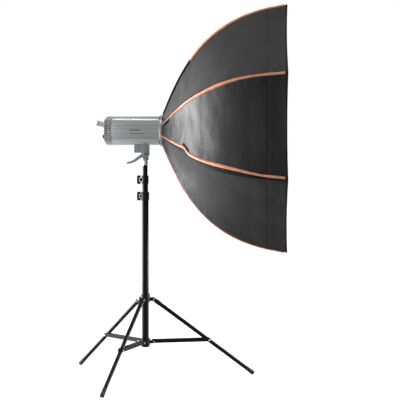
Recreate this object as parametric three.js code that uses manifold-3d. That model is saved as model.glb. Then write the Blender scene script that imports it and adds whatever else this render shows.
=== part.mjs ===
// A studio softbox: a 1.2 m octagonal softbox on a flash head, on a folding lighting stand.
// Millimetres, +Z up. The column stands on x = 0, y = 0 and the softbox opens towards +X.
import * as THREE from 'three';
import { mergeVertices } from 'three/addons/utils/BufferGeometryUtils.js';
import Module from 'manifold-3d';

const wasm = await Module();
wasm.setup();

// ---------------------------------------------------------------- driving dimensions

const GAP = 0.3;
const TUBE_SIDES = 24;
const LEG_SIDES = 16;
const RING_SIDES = 32;
const PIN_SIDES = 12;

const column = { radius: 17.5, wall: 2, bottom: 168, top: 930 };
const middle = { radius: 15, wall: 2, bottom: 182, top: 1030 };
const top = { radius: 12.5, wall: 1.3, bottom: 182, top: 1090 };
const endCap = { radius: 19, bottom: 160 };

// The tripod's linkage, drawn in the plane through the column's axis and one leg.
const tripod = {
  azimuths: [14.6, 134.6, 254.6],
  pivotRadius: 42,
  legPivotHeight: 405,
  bracePivotHeight: 186,
  braceLength: 289,
  legLength: 648,
  legRadius: 10,
  legWall: 1.2,
};
const tongue = { legWidth: 10, braceWidth: 20, legHalfHeight: 9.5, braceHalfHeight: 8 };
const brace = { innerWidth: 21, plate: 1.5, under: 6, over: 13, webEnd: 195, endRadius: 9 };
const footCap = { radius: 11.5, grip: 34, tip: 14 };
const fork = { halfWidth: 11, slotDepth: 14, sleeveRadius: 11.5, sleeveEnd: 44 };
const hinge = { pinRadius: 3, headRadius: 5, headHeight: 1.7 };
const legHub = { bottom: 392, height: 36, outer: 24.5 };
const braceHub = { bottom: 168, height: 37, outer: 24 };

const lowerLock = { bottom: 911, top: 954, radius: 20.5 };
const upperLock = { bottom: 995.5, top: 1037.5, radius: 17.5 };
const lockKnob = { height: 44, reach: 41.5, bar: 8, thickness: 9, wingTo: 23, wing: 8, shank: 4 };
const hubKnob = { azimuth: 74.6, height: 410, outFurther: 12, bossRadius: 9, bossEnd: 33 };
const lockBoss = { end: 25.7, halfWidth: 7, halfHeight: 9 };

const tiltPivot = { x: 3.5, z: 1147, boltRadius: 3.5 };
const stud = { collarRadius: 14.2, collarTop: 1117, radius: 8, top: 1136.5 };
const socket = { radius: 19, bottom: 1117.3, shoulder: 1126, tongueRadius: 14, tongueWidth: 22 };
const screw = { height: (socket.bottom + socket.shoulder) / 2, radius: 3, headFrom: 22, headTo: 38 };
const cheek = { radius: 18, width: 36 };
const bracket = { rear: -54, blockBottom: 1154, blockFront: -30 };
const umbrellaHole = { radius: 5, height: 1171 };
const lever = { near: -32, far: -22, hubRadius: 10.5, hubNear: -33, hubFar: -18.6 };

const axisHeight = 1266;
const flash = { height: 144, width: 130, corner: 40, wall: 2.5 };
const shell = { rear: -161.7, front: 77 };
const cover = { rear: -202, front: -162, wall: 3, topChamfer: [16, 21], bottomChamfer: [11, 23] };
const frontRing = { rear: 77.3, front: 92.2, outer: 79, inner: 50, plate: 3, socketHole: 24.5 };

// What is on the rear cover. y and z are measured from the flash unit's own axis.
const handle = { depth: 50.5, halfWidth: 53, thickness: 26, corner: 9, bar: 15, tilt: 16, root: 27 };
const dial = { y: -30, z: -30, radius: 9, shaftRadius: 3, height: 10.3 };
const button = { y: -30, z: 2, radius: 4, proud: 3.5 };
const rocker = { fromY: 26.6, toY: 39.4, z: -36, halfHeight: 9 };
const inlet = { halfWidth: 13.4, from: -51.4, to: -32.6, wall: 2.4, wellDepth: 18 };

// What is inside the flash unit.
const lampSocket = { rear: 45, front: 86 };
const lampRadius = 13;
const flashTube = { radius: 37, at: 112, glassRadius: 3.5, openHalf: 14 };
const capacitor = { rear: -120, front: -28, radius: 25, z: -26 };
const board = { rear: -135, front: 40, halfWidth: 48, bottom: 18, top: 19.6 };
const fan = { rear: -158, front: -146, hubRadius: 11, blades: 7 };

// The softbox is an octagon with flat top, bottom and sides. Its seams lie at the corners.
// A seam is drawn as [distance along x, distance of the corner from the axis]: a bowed curve from
// the neck to the lip, pulled towards two points on the way, and a straight lip out to the rim.
const softbox = {
  sides: 8,
  neck: [94, 81],
  bow: [[195, 330], [310, 567]],
  lip: [635, 635],
  rim: [719, 652],
  thickness: 2,
  steps: 15,
};
const speedRing = { rear: 92.5, front: 106, outer: 72, inner: 52 };
const rodRadius = 2;
const rodInset = 6;
const diffuserThickness = 1.5;
const frontDiffuserAt = 628;
const innerDiffuserAt = 400;

// ---------------------------------------------------------------- materials

const material = (color, roughness, metalness = 0) =>
  new THREE.MeshStandardMaterial({ color, roughness, metalness });

const MATERIALS = {
  blackMetal: () => material(0x141416, 0.25, 0.6),
  blackPlastic: () => material(0x161618, 0.45),
  rubber: () => material(0x1a1a1a, 0.85),
  chrome: () => material(0xd8dadd, 0.1, 1),
  steel: () => material(0xa9acb0, 0.35, 1),
  castGrey: () => material(0x7d828a, 0.5, 0.7),
  silver: () => material(0x9ea1a5, 0.35, 0.8),
  coverGrey: () => material(0x80848e, 0.55),
  ringGrey: () => material(0xb9bfc6, 0.4, 0.8),
  glass: () => material(0xf2f4f5, 0.05),
  ceramic: () => material(0xe8e4da, 0.5),
  capacitorBlack: () => material(0x20242c, 0.4),
  boardGreen: () => material(0x2f5c3a, 0.6),
  blackFabric: () => material(0x242426, 0.7),
  whiteFabric: () => material(0xf0f0ee, 0.8),
};

// ---------------------------------------------------------------- shape helpers

const X = new THREE.Vector3(1, 0, 0);
const Y = new THREE.Vector3(0, 1, 0);
const Z = new THREE.Vector3(0, 0, 1);
const radians = THREE.MathUtils.degToRad;

// What turns a lathe's own axis, which is y, to the named axis.
const LATHE_TO = {
  x: new THREE.Matrix4().makeBasis(Z, X, Y),
  y: new THREE.Matrix4(),
  z: new THREE.Matrix4().makeBasis(X, Z, Y.clone().negate()),
};

// A solid of revolution. The profile's points are [radius, distance along the axis].
function turned(profile, axis, sides = TUBE_SIDES, turn = 0) {
  const points = profile.map(([radius, along]) => new THREE.Vector2(radius, along));
  return new THREE.LatheGeometry(points, sides, turn).applyMatrix4(LATHE_TO[axis]);
}

function rod(radius, from, to, axis, sides = TUBE_SIDES) {
  return turned([[0, from], [radius, from], [radius, to], [0, to]], axis, sides);
}

function ring(inner, outer, from, to, axis, sides = TUBE_SIDES) {
  const profile = [[inner, from], [outer, from], [outer, to], [inner, to], [inner, from]];
  return turned(profile, axis, sides);
}

function box(fromX, toX, fromY, toY, fromZ, toZ) {
  const block = new THREE.BoxGeometry(toX - fromX, toY - fromY, toZ - fromZ);
  return block.translate((fromX + toX) / 2, (fromY + toY) / 2, (fromZ + toZ) / 2);
}

// A plate whose outline is drawn in x and z, lying between two values of y.
function plate(outline, fromY, toY, curveSegments = 6) {
  const settings = { depth: toY - fromY, bevelEnabled: false, curveSegments };
  const flat = new THREE.ExtrudeGeometry(outline, settings);
  return flat.applyMatrix4(LATHE_TO.z).translate(0, toY, 0);
}

// A bar whose section is drawn in y and z, lying between two values of x.
function bar(section, fromX, toX, curveSegments = 6) {
  const settings = { depth: toX - fromX, bevelEnabled: false, curveSegments };
  const straight = new THREE.ExtrudeGeometry(section, settings);
  return straight.applyMatrix4(new THREE.Matrix4().makeBasis(Y, Z, X)).translate(fromX, 0, 0);
}

function roundedRectangle(width, height, corner) {
  const w = width / 2 - corner;
  const h = height / 2 - corner;
  return new THREE.Shape()
    .absarc(w, h, corner, 0, Math.PI / 2)
    .absarc(-w, h, corner, Math.PI / 2, Math.PI)
    .absarc(-w, -h, corner, Math.PI, 1.5 * Math.PI)
    .absarc(w, -h, corner, 1.5 * Math.PI, 2 * Math.PI);
}

// A link lying along x, with round ends of the given radius.
function linkOutline(from, to, radius) {
  return new THREE.Shape()
    .absarc(to, 0, radius, -Math.PI / 2, Math.PI / 2)
    .absarc(from, 0, radius, Math.PI / 2, 1.5 * Math.PI);
}

function polygon(points) {
  return new THREE.Shape(points.map(([x, z]) => new THREE.Vector2(x, z)));
}

// ---------------------------------------------------------------- joining and cutting

function signedVolume(positions, triangles) {
  const [a, b, c] = [new THREE.Vector3(), new THREE.Vector3(), new THREE.Vector3()];
  let sum = 0;
  for (let i = 0; i < triangles.length; i += 3) {
    a.fromBufferAttribute(positions, triangles[i]);
    b.fromBufferAttribute(positions, triangles[i + 1]);
    c.fromBufferAttribute(positions, triangles[i + 2]);
    sum += a.dot(b.cross(c));
  }
  return sum / 6;
}

function toSolid(geometry) {
  const bare = geometry.clone();
  bare.deleteAttribute('normal');
  bare.deleteAttribute('uv');
  const welded = mergeVertices(bare, 1e-4);
  const corners = welded.index.array;
  const triangles = [];
  for (let i = 0; i < corners.length; i += 3) {
    const [a, b, c] = [corners[i], corners[i + 1], corners[i + 2]];
    if (a !== b && b !== c && c !== a) triangles.push(a, b, c);
  }
  if (signedVolume(welded.attributes.position, triangles) < 0) triangles.reverse();
  return new wasm.Manifold(
    new wasm.Mesh({
      numProp: 3,
      vertProperties: Float32Array.from(welded.attributes.position.array),
      triVerts: Uint32Array.from(triangles),
    }),
  );
}

function toGeometry(solid) {
  const { vertProperties, triVerts } = solid.getMesh();
  const geometry = new THREE.BufferGeometry();
  geometry.setAttribute('position', new THREE.BufferAttribute(vertProperties, 3));
  geometry.setIndex(new THREE.BufferAttribute(triVerts, 1));
  geometry.computeVertexNormals();
  return geometry;
}

function join(...parts) {
  return toGeometry(parts.map(toSolid).reduce((whole, part) => whole.add(part)));
}

function cut(blank, ...tools) {
  return toGeometry(tools.map(toSolid).reduce((left, tool) => left.subtract(tool), toSolid(blank)));
}

// ---------------------------------------------------------------- the scene graph

const object = new THREE.Group();

function add(name, geometry, makeMaterial, parent = object) {
  const mesh = new THREE.Mesh(toGeometry(toSolid(geometry)), makeMaterial());
  mesh.name = name;
  parent.add(mesh);
}

// ---------------------------------------------------------------- stand: the column

function tube({ radius, wall, bottom, top: end }) {
  return ring(radius - wall, radius, bottom, end, 'z');
}

function addColumn() {
  add('column_tube', tube(column), MATERIALS.blackMetal);
  const bore = column.radius - column.wall;
  const capProfile = [
    [0, endCap.bottom],
    [endCap.radius - 1, endCap.bottom],
    [endCap.radius, endCap.bottom + 1],
    [endCap.radius, column.bottom - GAP],
    [bore - GAP, column.bottom - GAP],
    [bore - GAP, middle.bottom - GAP],
    [0, middle.bottom - GAP],
  ];
  add('column_end_cap', turned(capProfile, 'z'), MATERIALS.blackPlastic);
  add('middle_tube', tube(middle), MATERIALS.blackMetal);
  add('top_tube', tube(top), MATERIALS.blackMetal);
}

// ---------------------------------------------------------------- stand: hubs, legs, braces

function pinHole() {
  return rod(hinge.pinRadius + GAP, -20, 20, 'y', PIN_SIDES);
}

// A collar that rides on the column, with one tongue for each leg or brace.
function hub({ bottom, height, outer, pivotHeight, width, halfHeight }) {
  const bore = column.radius + GAP;
  const arms = tripod.azimuths.map((azimuth) =>
    plate(linkOutline(outer, tripod.pivotRadius, halfHeight), -width / 2, width / 2)
      .translate(0, 0, pivotHeight)
      .rotateZ(radians(azimuth)),
  );
  const holes = tripod.azimuths.map((azimuth) =>
    pinHole()
      .translate(tripod.pivotRadius, 0, pivotHeight)
      .rotateZ(radians(azimuth)),
  );
  const solid = join(rod(outer, bottom, bottom + height, 'z'), ...arms);
  return cut(solid, rod(bore, bottom - 10, bottom + height + 10, 'z'), ...holes);
}

// A hinge pin along y with a flat head at each end, centred on y = 0.
function pin(halfLength) {
  const { pinRadius, headRadius, headHeight } = hinge;
  const profile = [
    [0, -halfLength - headHeight],
    [headRadius, -halfLength - headHeight],
    [headRadius, -halfLength],
    [pinRadius, -halfLength],
    [pinRadius, halfLength],
    [headRadius, halfLength],
    [headRadius, halfLength + headHeight],
    [0, halfLength + headHeight],
  ];
  return turned(profile, 'y', PIN_SIDES);
}

// A leg lies along x from its hinge at the origin: a plastic fork, then the open tube.
function leg() {
  const { halfWidth, slotDepth, sleeveRadius, sleeveEnd } = fork;
  const slotHalf = tongue.legWidth / 2 + GAP;
  const slot = box(-20, slotDepth, -slotHalf, slotHalf, -20, 20);
  const blank = join(
    plate(linkOutline(0, 20, tongue.legHalfHeight), -halfWidth, halfWidth),
    rod(sleeveRadius, slotDepth, sleeveEnd, 'x', LEG_SIDES),
  );
  const bored = cut(blank, slot, pinHole());
  const inner = tripod.legRadius - tripod.legWall;
  return cut(
    join(bored, rod(tripod.legRadius, 20, tripod.legLength, 'x', LEG_SIDES)),
    rod(inner, 30, tripod.legLength + 10, 'x', PIN_SIDES),
  );
}

// The rubber foot, cut off flat where it meets the floor.
function foot(legToWorld) {
  const from = tripod.legLength - footCap.grip;
  const to = tripod.legLength + footCap.tip;
  const bore = tripod.legRadius + GAP;
  const blank = cut(
    rod(footCap.radius, from, to, 'x', 24),
    rod(bore, from - 10, tripod.legLength + GAP, 'x', 24),
  );
  return cut(blank.applyMatrix4(legToWorld), box(0, 1000, -100, 100, -100, 0));
}

// A brace lies along x from its hinge at the origin. Its two cheeks pass either side of the leg,
// and the web that joins them stops short of where the leg crosses as the tripod folds.
function braceArm() {
  const half = brace.innerWidth / 2;
  const length = tripod.braceLength;
  const outline = new THREE.Shape()
    .moveTo(0, -brace.under)
    .lineTo(length, -brace.under)
    .absarc(length, (brace.over - brace.under) / 2, brace.endRadius + 0.5, -Math.PI / 2, Math.PI / 2)
    .lineTo(0, brace.over)
    .absarc(0, (brace.over - brace.under) / 2, brace.endRadius + 0.5, Math.PI / 2, 1.5 * Math.PI);
  const cheeks = [-half - brace.plate, half].map((from) => plate(outline, from, from + brace.plate));
  const web = box(12, brace.webEnd, -half - brace.plate, half + brace.plate,
    brace.over - brace.plate, brace.over);
  const rivetHeads = [-1, 1].map((side) => {
    const face = side * (half + brace.plate / 2);
    const outside = side * (half + brace.plate + 1.6);
    return rod(4.5, Math.min(face, outside), Math.max(face, outside), 'y', PIN_SIDES)
      .translate(length, 0, 0);
  });
  return cut(join(...cheeks, web, ...rivetHeads), pinHole());
}

function addTripod() {
  const slidingHub = hub({
    ...legHub,
    pivotHeight: tripod.legPivotHeight,
    width: tongue.legWidth,
    halfHeight: tongue.legHalfHeight,
  });
  const knobBoss = rod(hubKnob.bossRadius, 0, hubKnob.bossEnd, 'x', PIN_SIDES)
    .translate(0, 0, hubKnob.height)
    .rotateZ(radians(hubKnob.azimuth));
  const bore = rod(column.radius + GAP, legHub.bottom - 50, legHub.bottom + 100, 'z');
  add('leg_hub', cut(join(slidingHub, knobBoss), bore), MATERIALS.blackPlastic);
  add('brace_hub', hub({
    ...braceHub,
    pivotHeight: tripod.bracePivotHeight,
    width: tongue.braceWidth,
    halfHeight: tongue.braceHalfHeight,
  }), MATERIALS.blackPlastic);

  const rise = tripod.legPivotHeight - tripod.bracePivotHeight;
  const legAngle = Math.atan2(rise, tripod.braceLength);
  const legToWorld = new THREE.Matrix4()
    .makeTranslation(tripod.pivotRadius, 0, tripod.legPivotHeight)
    .multiply(new THREE.Matrix4().makeRotationY(legAngle));
  const braceToWorld = new THREE.Matrix4()
    .makeTranslation(tripod.pivotRadius, 0, tripod.bracePivotHeight);

  tripod.azimuths.forEach((azimuth, index) => {
    const side = new THREE.Group();
    side.rotation.z = radians(azimuth);
    object.add(side);
    const number = index + 1;
    add(`leg_${number}`, leg().applyMatrix4(legToWorld), MATERIALS.blackMetal, side);
    const legPin = pin(fork.halfWidth + GAP).applyMatrix4(legToWorld);
    add(`leg_pin_${number}`, legPin, MATERIALS.steel, side);
    add(`foot_cap_${number}`, foot(legToWorld), MATERIALS.rubber, side);
    add(`brace_${number}`, braceArm().applyMatrix4(braceToWorld), MATERIALS.blackMetal, side);
    const braceHalf = brace.innerWidth / 2 + brace.plate;
    add(`brace_pin_${number}`, pin(braceHalf + GAP).applyMatrix4(braceToWorld),
      MATERIALS.steel, side);
  });
}

// ---------------------------------------------------------------- stand: locks

// A clamp knob pointing along -x, with its screw's axis at the origin: a shank, a bar across
// its end, and two wings that sweep back beside the collar.
function clampKnob() {
  const half = lockKnob.height / 2;
  const outer = -lockKnob.reach;
  const outline = polygon([
    [outer, -half + 5],
    [outer + 5, -half],
    [-lockKnob.wingTo, -half],
    [-lockKnob.wingTo, -half + lockKnob.wing],
    [outer + lockKnob.bar, -half + lockKnob.wing + 2],
    [outer + lockKnob.bar, half - lockKnob.wing - 2],
    [-lockKnob.wingTo, half - lockKnob.wing],
    [-lockKnob.wingTo, half],
    [outer + 5, half],
    [outer, half - 5],
  ]);
  const handle = plate(outline, -lockKnob.thickness / 2, lockKnob.thickness / 2);
  return join(handle, rod(lockKnob.shank, outer + 2, -22, 'x', PIN_SIDES));
}

// A collar round two tubes, with a boss for the clamp screw on its -x side.
function lockCollar({ bottom, top: end, radius }, outerTube, innerTube) {
  const step = outerTube.top + GAP;
  const profile = [
    [outerTube.radius + GAP, bottom],
    [radius - 1, bottom],
    [radius, bottom + 1.5],
    [radius, end - 1.5],
    [radius - 1, end],
    [innerTube.radius + GAP, end],
    [innerTube.radius + GAP, step],
    [outerTube.radius + GAP, step],
    [outerTube.radius + GAP, bottom],
  ];
  const centre = (bottom + end) / 2;
  const { end: bossEnd, halfWidth, halfHeight } = lockBoss;
  const boss = box(-bossEnd, -outerTube.radius - 2, -halfWidth, halfWidth,
    centre - halfHeight, centre + halfHeight);
  const screwHole = rod(lockKnob.shank + GAP, -30, -outerTube.radius - 1, 'x', PIN_SIDES)
    .translate(0, 0, centre);
  return cut(join(turned(profile, 'z'), boss), screwHole);
}

function addLocks() {
  add('lower_lock_collar', lockCollar(lowerLock, column, middle), MATERIALS.blackPlastic);
  add('upper_lock_collar', lockCollar(upperLock, middle, top), MATERIALS.blackPlastic);
  const heights = {
    lower_lock_knob: (lowerLock.bottom + lowerLock.top) / 2,
    upper_lock_knob: (upperLock.bottom + upperLock.top) / 2,
  };
  for (const [name, height] of Object.entries(heights)) {
    add(name, clampKnob().translate(0, 0, height), MATERIALS.blackPlastic);
  }
  const farKnob = clampKnob()
    .translate(-hubKnob.outFurther, 0, hubKnob.height)
    .rotateZ(radians(hubKnob.azimuth + 180));
  add('hub_lock_knob', farKnob, MATERIALS.blackPlastic);
}

// ---------------------------------------------------------------- head: stud, socket, bracket

function addStud() {
  const plug = top.radius - top.wall - GAP;
  const profile = [
    [0, 1065],
    [plug, 1065],
    [plug, top.top + GAP],
    [stud.collarRadius - 1, top.top + GAP],
    [stud.collarRadius, top.top + 2],
    [stud.collarRadius, stud.collarTop - 5],
    [stud.radius + 2, stud.collarTop - GAP],
    [stud.radius, stud.collarTop],
    [stud.radius, stud.top],
    [0, stud.top],
  ];
  add('mounting_stud', turned(profile, 'z'), MATERIALS.chrome);
}

function addSocket() {
  const half = socket.tongueWidth / 2;
  const { x, z } = tiltPivot;
  const rootOutline = polygon([
    [-14, socket.shoulder - 3],
    [16, socket.shoulder - 3],
    [x + socket.tongueRadius, z],
    [x - socket.tongueRadius, z],
  ]);
  const solid = join(
    rod(socket.radius, socket.bottom, socket.shoulder, 'z'),
    plate(rootOutline, -half, half),
    rod(socket.tongueRadius, -half, half, 'y').translate(x, 0, z),
  );
  const screwHole = rod(screw.radius + GAP, 0, 60, 'y', PIN_SIDES).translate(0, 0, screw.height);
  const studBore = rod(stud.radius + GAP, 1100, stud.top + GAP, 'z');
  const boltBore = rod(tiltPivot.boltRadius + GAP, -30, 30, 'y', PIN_SIDES).translate(x, 0, z);
  add('stand_socket', cut(solid, studBore, boltBore, screwHole), MATERIALS.castGrey);

  const screwProfile = [
    [0, stud.radius + 1],
    [screw.radius, stud.radius + 1],
    [screw.radius, screw.headFrom],
    [8, screw.headFrom],
    [9, screw.headFrom + 2],
    [9, screw.headTo - 2],
    [7, screw.headTo],
    [0, screw.headTo],
  ];
  const lockScrew = turned(screwProfile, 'y', PIN_SIDES).translate(0, 0, screw.height);
  add('socket_lock_screw', lockScrew, MATERIALS.blackPlastic);
}

// The casting under the flash head: a block with a hole for an umbrella shaft, and two cheeks
// that hold the tilt bolt either side of the socket's tongue.
function addBracket() {
  const { x, z } = tiltPivot;
  const bottomOfFlash = axisHeight - flash.height / 2 - GAP;
  const half = cheek.width / 2;
  const outline = new THREE.Shape()
    .moveTo(bracket.rear, bottomOfFlash)
    .lineTo(bracket.rear, bracket.blockBottom)
    .lineTo(bracket.blockFront, bracket.blockBottom)
    .lineTo(x - cheek.radius, z + 4)
    .absarc(x, z, cheek.radius, Math.PI, 2 * Math.PI)
    .lineTo(x + cheek.radius, bottomOfFlash);
  const tongueSpace = socket.tongueWidth / 2 + 0.4;
  const slot = plate(linkOutline(-40, 60, socket.tongueRadius + 1), -tongueSpace, tongueSpace)
    .translate(x, 0, z);
  const belowSlot = box(-60, 60, -tongueSpace, tongueSpace, z - 40, z);
  const umbrella = rod(umbrellaHole.radius, -80, 60, 'x', PIN_SIDES)
    .translate(0, 0, umbrellaHole.height);
  const bolt = rod(tiltPivot.boltRadius + GAP, -30, 30, 'y', PIN_SIDES).translate(x, 0, z);
  add('head_bracket', cut(plate(outline, -half, half), slot, belowSlot, umbrella, bolt),
    MATERIALS.castGrey);

  const boltProfile = [
    [0, -28],
    [tiltPivot.boltRadius, -28],
    [tiltPivot.boltRadius, half + GAP],
    [6.5, half + GAP],
    [6.5, half + 5],
    [0, half + 5],
  ];
  add('tilt_bolt', turned(boltProfile, 'y', PIN_SIDES).translate(x, 0, z), MATERIALS.steel);
}

// The clamp lever on the near end of the tilt bolt, curving down and back.
function addTiltLever() {
  const { x, z } = tiltPivot;
  const hubBore = rod(tiltPivot.boltRadius + GAP, -29, 0, 'y', PIN_SIDES);
  const arm = new THREE.Shape()
    .moveTo(-4, 9)
    .bezierCurveTo(-40, -8, -52, -36, -90, -40)
    .absarc(-90, -44.5, 4.5, Math.PI / 2, 1.5 * Math.PI)
    .bezierCurveTo(-50, -49, -38, -24, 0, -10);
  const { near, far, hubRadius, hubNear, hubFar } = lever;
  const solid = join(plate(arm, near, far), rod(hubRadius, hubNear, hubFar, 'y', 24));
  add('tilt_lever', cut(solid, hubBore).translate(x, 0, z), MATERIALS.castGrey);
}

// ---------------------------------------------------------------- head: the flash unit

// The flash unit is built on its own axis and lifted to the axis height afterwards.
const flashUnit = new THREE.Group();
flashUnit.position.z = axisHeight;
object.add(flashUnit);

function flashSection(inset) {
  return roundedRectangle(
    flash.width - 2 * inset,
    flash.height - 2 * inset,
    flash.corner - inset,
  );
}

function addHousing() {
  const shellBlank = bar(flashSection(0), shell.rear, shell.front);
  const shellBore = bar(flashSection(flash.wall), shell.rear - 10, shell.front + 10);
  add('body_shell', cut(shellBlank, shellBore), MATERIALS.silver, flashUnit);

  const half = flash.height / 2;
  const [topBack, topDown] = cover.topChamfer;
  const [bottomBack, bottomUp] = cover.bottomChamfer;
  const sideProfile = (inset) => polygon([
    [cover.rear + inset, half - topDown - inset / 2],
    [cover.rear + topBack + inset / 2, half - inset],
    [cover.front + inset, half - inset],
    [cover.front + inset, -half + inset],
    [cover.rear + bottomBack + inset / 2, -half + inset],
    [cover.rear + inset, -half + bottomUp + inset / 2],
  ]);
  const solidCover = (inset) => {
    const along = bar(flashSection(inset), cover.rear - 5, cover.front + inset);
    const across = plate(sideProfile(inset), -flash.width / 2, flash.width / 2);
    return toGeometry(toSolid(along).intersect(toSolid(across)));
  };
  const from = cover.rear - 5;
  const to = cover.rear + 10;
  const room = 2 * GAP;
  const inletHole = box(from, to, -inlet.halfWidth - room, inlet.halfWidth + room,
    inlet.from - room, inlet.to + room);
  const switchHole = box(from, to, rocker.fromY - room, rocker.toY + room,
    rocker.z - rocker.halfHeight - 1, rocker.z + rocker.halfHeight + 1);
  const roundHoles = [[dial, dial.shaftRadius], [button, button.radius]].map(([at, radius]) =>
    rod(radius + GAP, from, to, 'x', PIN_SIDES).translate(0, at.y, at.z),
  );
  add('rear_cover', cut(solidCover(0), solidCover(cover.wall), inletHole, switchHole,
    ...roundHoles), MATERIALS.coverGrey, flashUnit);
}

function addRearControls() {
  // The carrying handle: a flat loop standing off the rear cover, tilted up to the back.
  const { depth, halfWidth, thickness, corner, bar: barWidth, tilt, root } = handle;
  const loop = new THREE.Shape()
    .absarc(corner + 4 - depth, corner - halfWidth, corner, Math.PI, 1.5 * Math.PI)
    .lineTo(-3, -halfWidth)
    .lineTo(-3, halfWidth)
    .absarc(corner + 4 - depth, halfWidth - corner, corner, Math.PI / 2, Math.PI);
  const holeCorner = 5;
  const holeRear = barWidth + holeCorner + 4 - depth;
  const holeSide = halfWidth - barWidth - holeCorner;
  const fingerHole = new THREE.Path()
    .absarc(holeRear, -holeSide, holeCorner, Math.PI, 1.5 * Math.PI)
    .lineTo(-4, -holeSide - holeCorner)
    .lineTo(-4, holeSide + holeCorner)
    .absarc(holeRear, holeSide, holeCorner, Math.PI / 2, Math.PI);
  loop.holes.push(fingerHole);
  const slab = { depth: thickness, bevelEnabled: false, curveSegments: 5 };
  const grip = new THREE.ExtrudeGeometry(loop, slab)
    .translate(0, 0, -thickness / 2)
    .rotateY(radians(tilt))
    .translate(cover.rear + 1, 0, root);
  const clear = toSolid(grip).subtract(
    toSolid(box(cover.rear - GAP, cover.rear + 40, -80, 80, -60, 60)),
  );
  add('carry_handle', toGeometry(clear), MATERIALS.coverGrey, flashUnit);

  const dialProfile = [
    [0, cover.rear - dial.height],
    [dial.radius - 1.5, cover.rear - dial.height],
    [dial.radius, cover.rear - dial.height + 2],
    [dial.radius, cover.rear - GAP],
    [dial.shaftRadius, cover.rear - GAP],
    [dial.shaftRadius, cover.rear + 8],
    [0, cover.rear + 8],
  ];
  const turnedDial = turned(dialProfile, 'x', 24);
  add('power_dial', turnedDial.translate(0, dial.y, dial.z), MATERIALS.blackPlastic, flashUnit);

  const pressed = rod(button.radius, cover.rear - button.proud, cover.rear + 7, 'x', PIN_SIDES);
  add('test_button', pressed.translate(0, button.y, button.z), MATERIALS.blackPlastic, flashUnit);

  const tip = rocker.halfHeight;
  const rockerOutline = polygon([[-3, -tip], [-1, 0], [1, tip], [7, tip], [7, -tip]]);
  const paddle = plate(rockerOutline, rocker.fromY, rocker.toY)
    .translate(cover.rear - GAP, 0, rocker.z);
  add('power_switch', paddle, MATERIALS.blackPlastic, flashUnit);

  const inletBlank = box(cover.rear - 1.2, cover.rear + 24, -inlet.halfWidth, inlet.halfWidth,
    inlet.from, inlet.to);
  const wellHalf = inlet.halfWidth - inlet.wall;
  const inletWell = box(cover.rear - 5, cover.rear + inlet.wellDepth, -wellHalf, wellHalf,
    inlet.from + inlet.wall, inlet.to - inlet.wall);
  const bladeMiddle = (inlet.from + inlet.to) / 2;
  const blades = [-6, 0, 6].map((y) =>
    box(cover.rear + 6, cover.rear + 20, y - 1, y + 1, bladeMiddle - 2, bladeMiddle + 2),
  );
  add('mains_inlet', join(cut(inletBlank, inletWell), ...blades), MATERIALS.blackPlastic,
    flashUnit);
}

function addFlashFront() {
  const { rear, front, outer, inner, plate: thickness, socketHole } = frontRing;
  const profile = [
    [socketHole, rear],
    [outer - 1.5, rear],
    [outer, rear + 1.5],
    [outer, front - 1.5],
    [outer - 1.5, front],
    [inner, front],
    [inner, rear + thickness],
    [socketHole, rear + thickness],
    [socketHole, rear],
  ];
  add('front_ring', turned(profile, 'x', RING_SIDES), MATERIALS.ringGrey, flashUnit);

  const porcelain = rod(socketHole - GAP, lampSocket.rear, lampSocket.front, 'x', 24);
  add('lamp_socket', porcelain, MATERIALS.ceramic, flashUnit);
  const base = lampSocket.front + GAP;
  const lampProfile = [
    [0, base],
    [7, base],
    [7, base + 6],
    [lampRadius, base + 12],
    [lampRadius, base + 42],
    [9, base + 52],
    [0, base + 56],
  ];
  add('modelling_lamp', turned(lampProfile, 'x', 20), MATERIALS.glass, flashUnit);

  // The flash tube: most of a ring round the lamp, on two legs that plug into the front plate.
  const { radius, at, glassRadius } = flashTube;
  const openHalf = radians(flashTube.openHalf);
  const arc = new THREE.Curve();
  arc.getPoint = (t, target = new THREE.Vector3()) => {
    const angle = openHalf + t * (2 * Math.PI - 2 * openHalf);
    return target.set(at, radius * Math.sin(angle), radius * Math.cos(angle));
  };
  const bow = new THREE.ExtrudeGeometry(polygonSection(glassRadius, 8), {
    steps: 24,
    extrudePath: arc,
    bevelEnabled: false,
  });
  const legs = [-1, 1].map((side) =>
    rod(glassRadius + 0.1, rear + thickness + GAP, at + 3, 'x', PIN_SIDES)
      .translate(0, side * radius * Math.sin(openHalf), radius * Math.cos(openHalf)),
  );
  add('flash_tube', join(bow, ...legs), MATERIALS.glass, flashUnit);
}

function polygonSection(radius, sides) {
  const corners = Array.from({ length: sides }, (_, i) => (2 * Math.PI * i) / sides);
  return polygon(corners.map((angle) => [radius * Math.cos(angle), radius * Math.sin(angle)]));
}

function addFlashInside() {
  const can = capacitor;
  const canProfile = [
    [0, can.rear],
    [can.radius - 1, can.rear],
    [can.radius, can.rear + 2],
    [can.radius, can.front - 2],
    [can.radius - 2, can.front],
    [0, can.front],
  ];
  add('flash_capacitor', turned(canProfile, 'x', 24).translate(0, 0, can.z),
    MATERIALS.capacitorBlack, flashUnit);
  const panel = box(board.rear, board.front, -board.halfWidth, board.halfWidth,
    board.bottom, board.top);
  add('circuit_board', panel, MATERIALS.boardGreen, flashUnit);
  const hubShape = rod(fan.hubRadius, fan.rear, fan.front, 'x', 20);
  const blades = Array.from({ length: fan.blades }, (_, i) =>
    new THREE.BoxGeometry(1.4, 15, 26)
      .rotateZ(radians(40))
      .translate((fan.rear + fan.front) / 2, 0, 2 * fan.hubRadius)
      .rotateX((2 * Math.PI * i) / fan.blades),
  );
  add('cooling_fan', join(hubShape, ...blades), MATERIALS.blackPlastic, flashUnit);
}

// ---------------------------------------------------------------- softbox

const softboxUnit = new THREE.Group();
softboxUnit.position.z = axisHeight;
object.add(softboxUnit);

const seam = new THREE.CubicBezierCurve(
  ...[softbox.neck, ...softbox.bow, softbox.lip].map(([x, radius]) => new THREE.Vector2(x, radius)),
);

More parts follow.
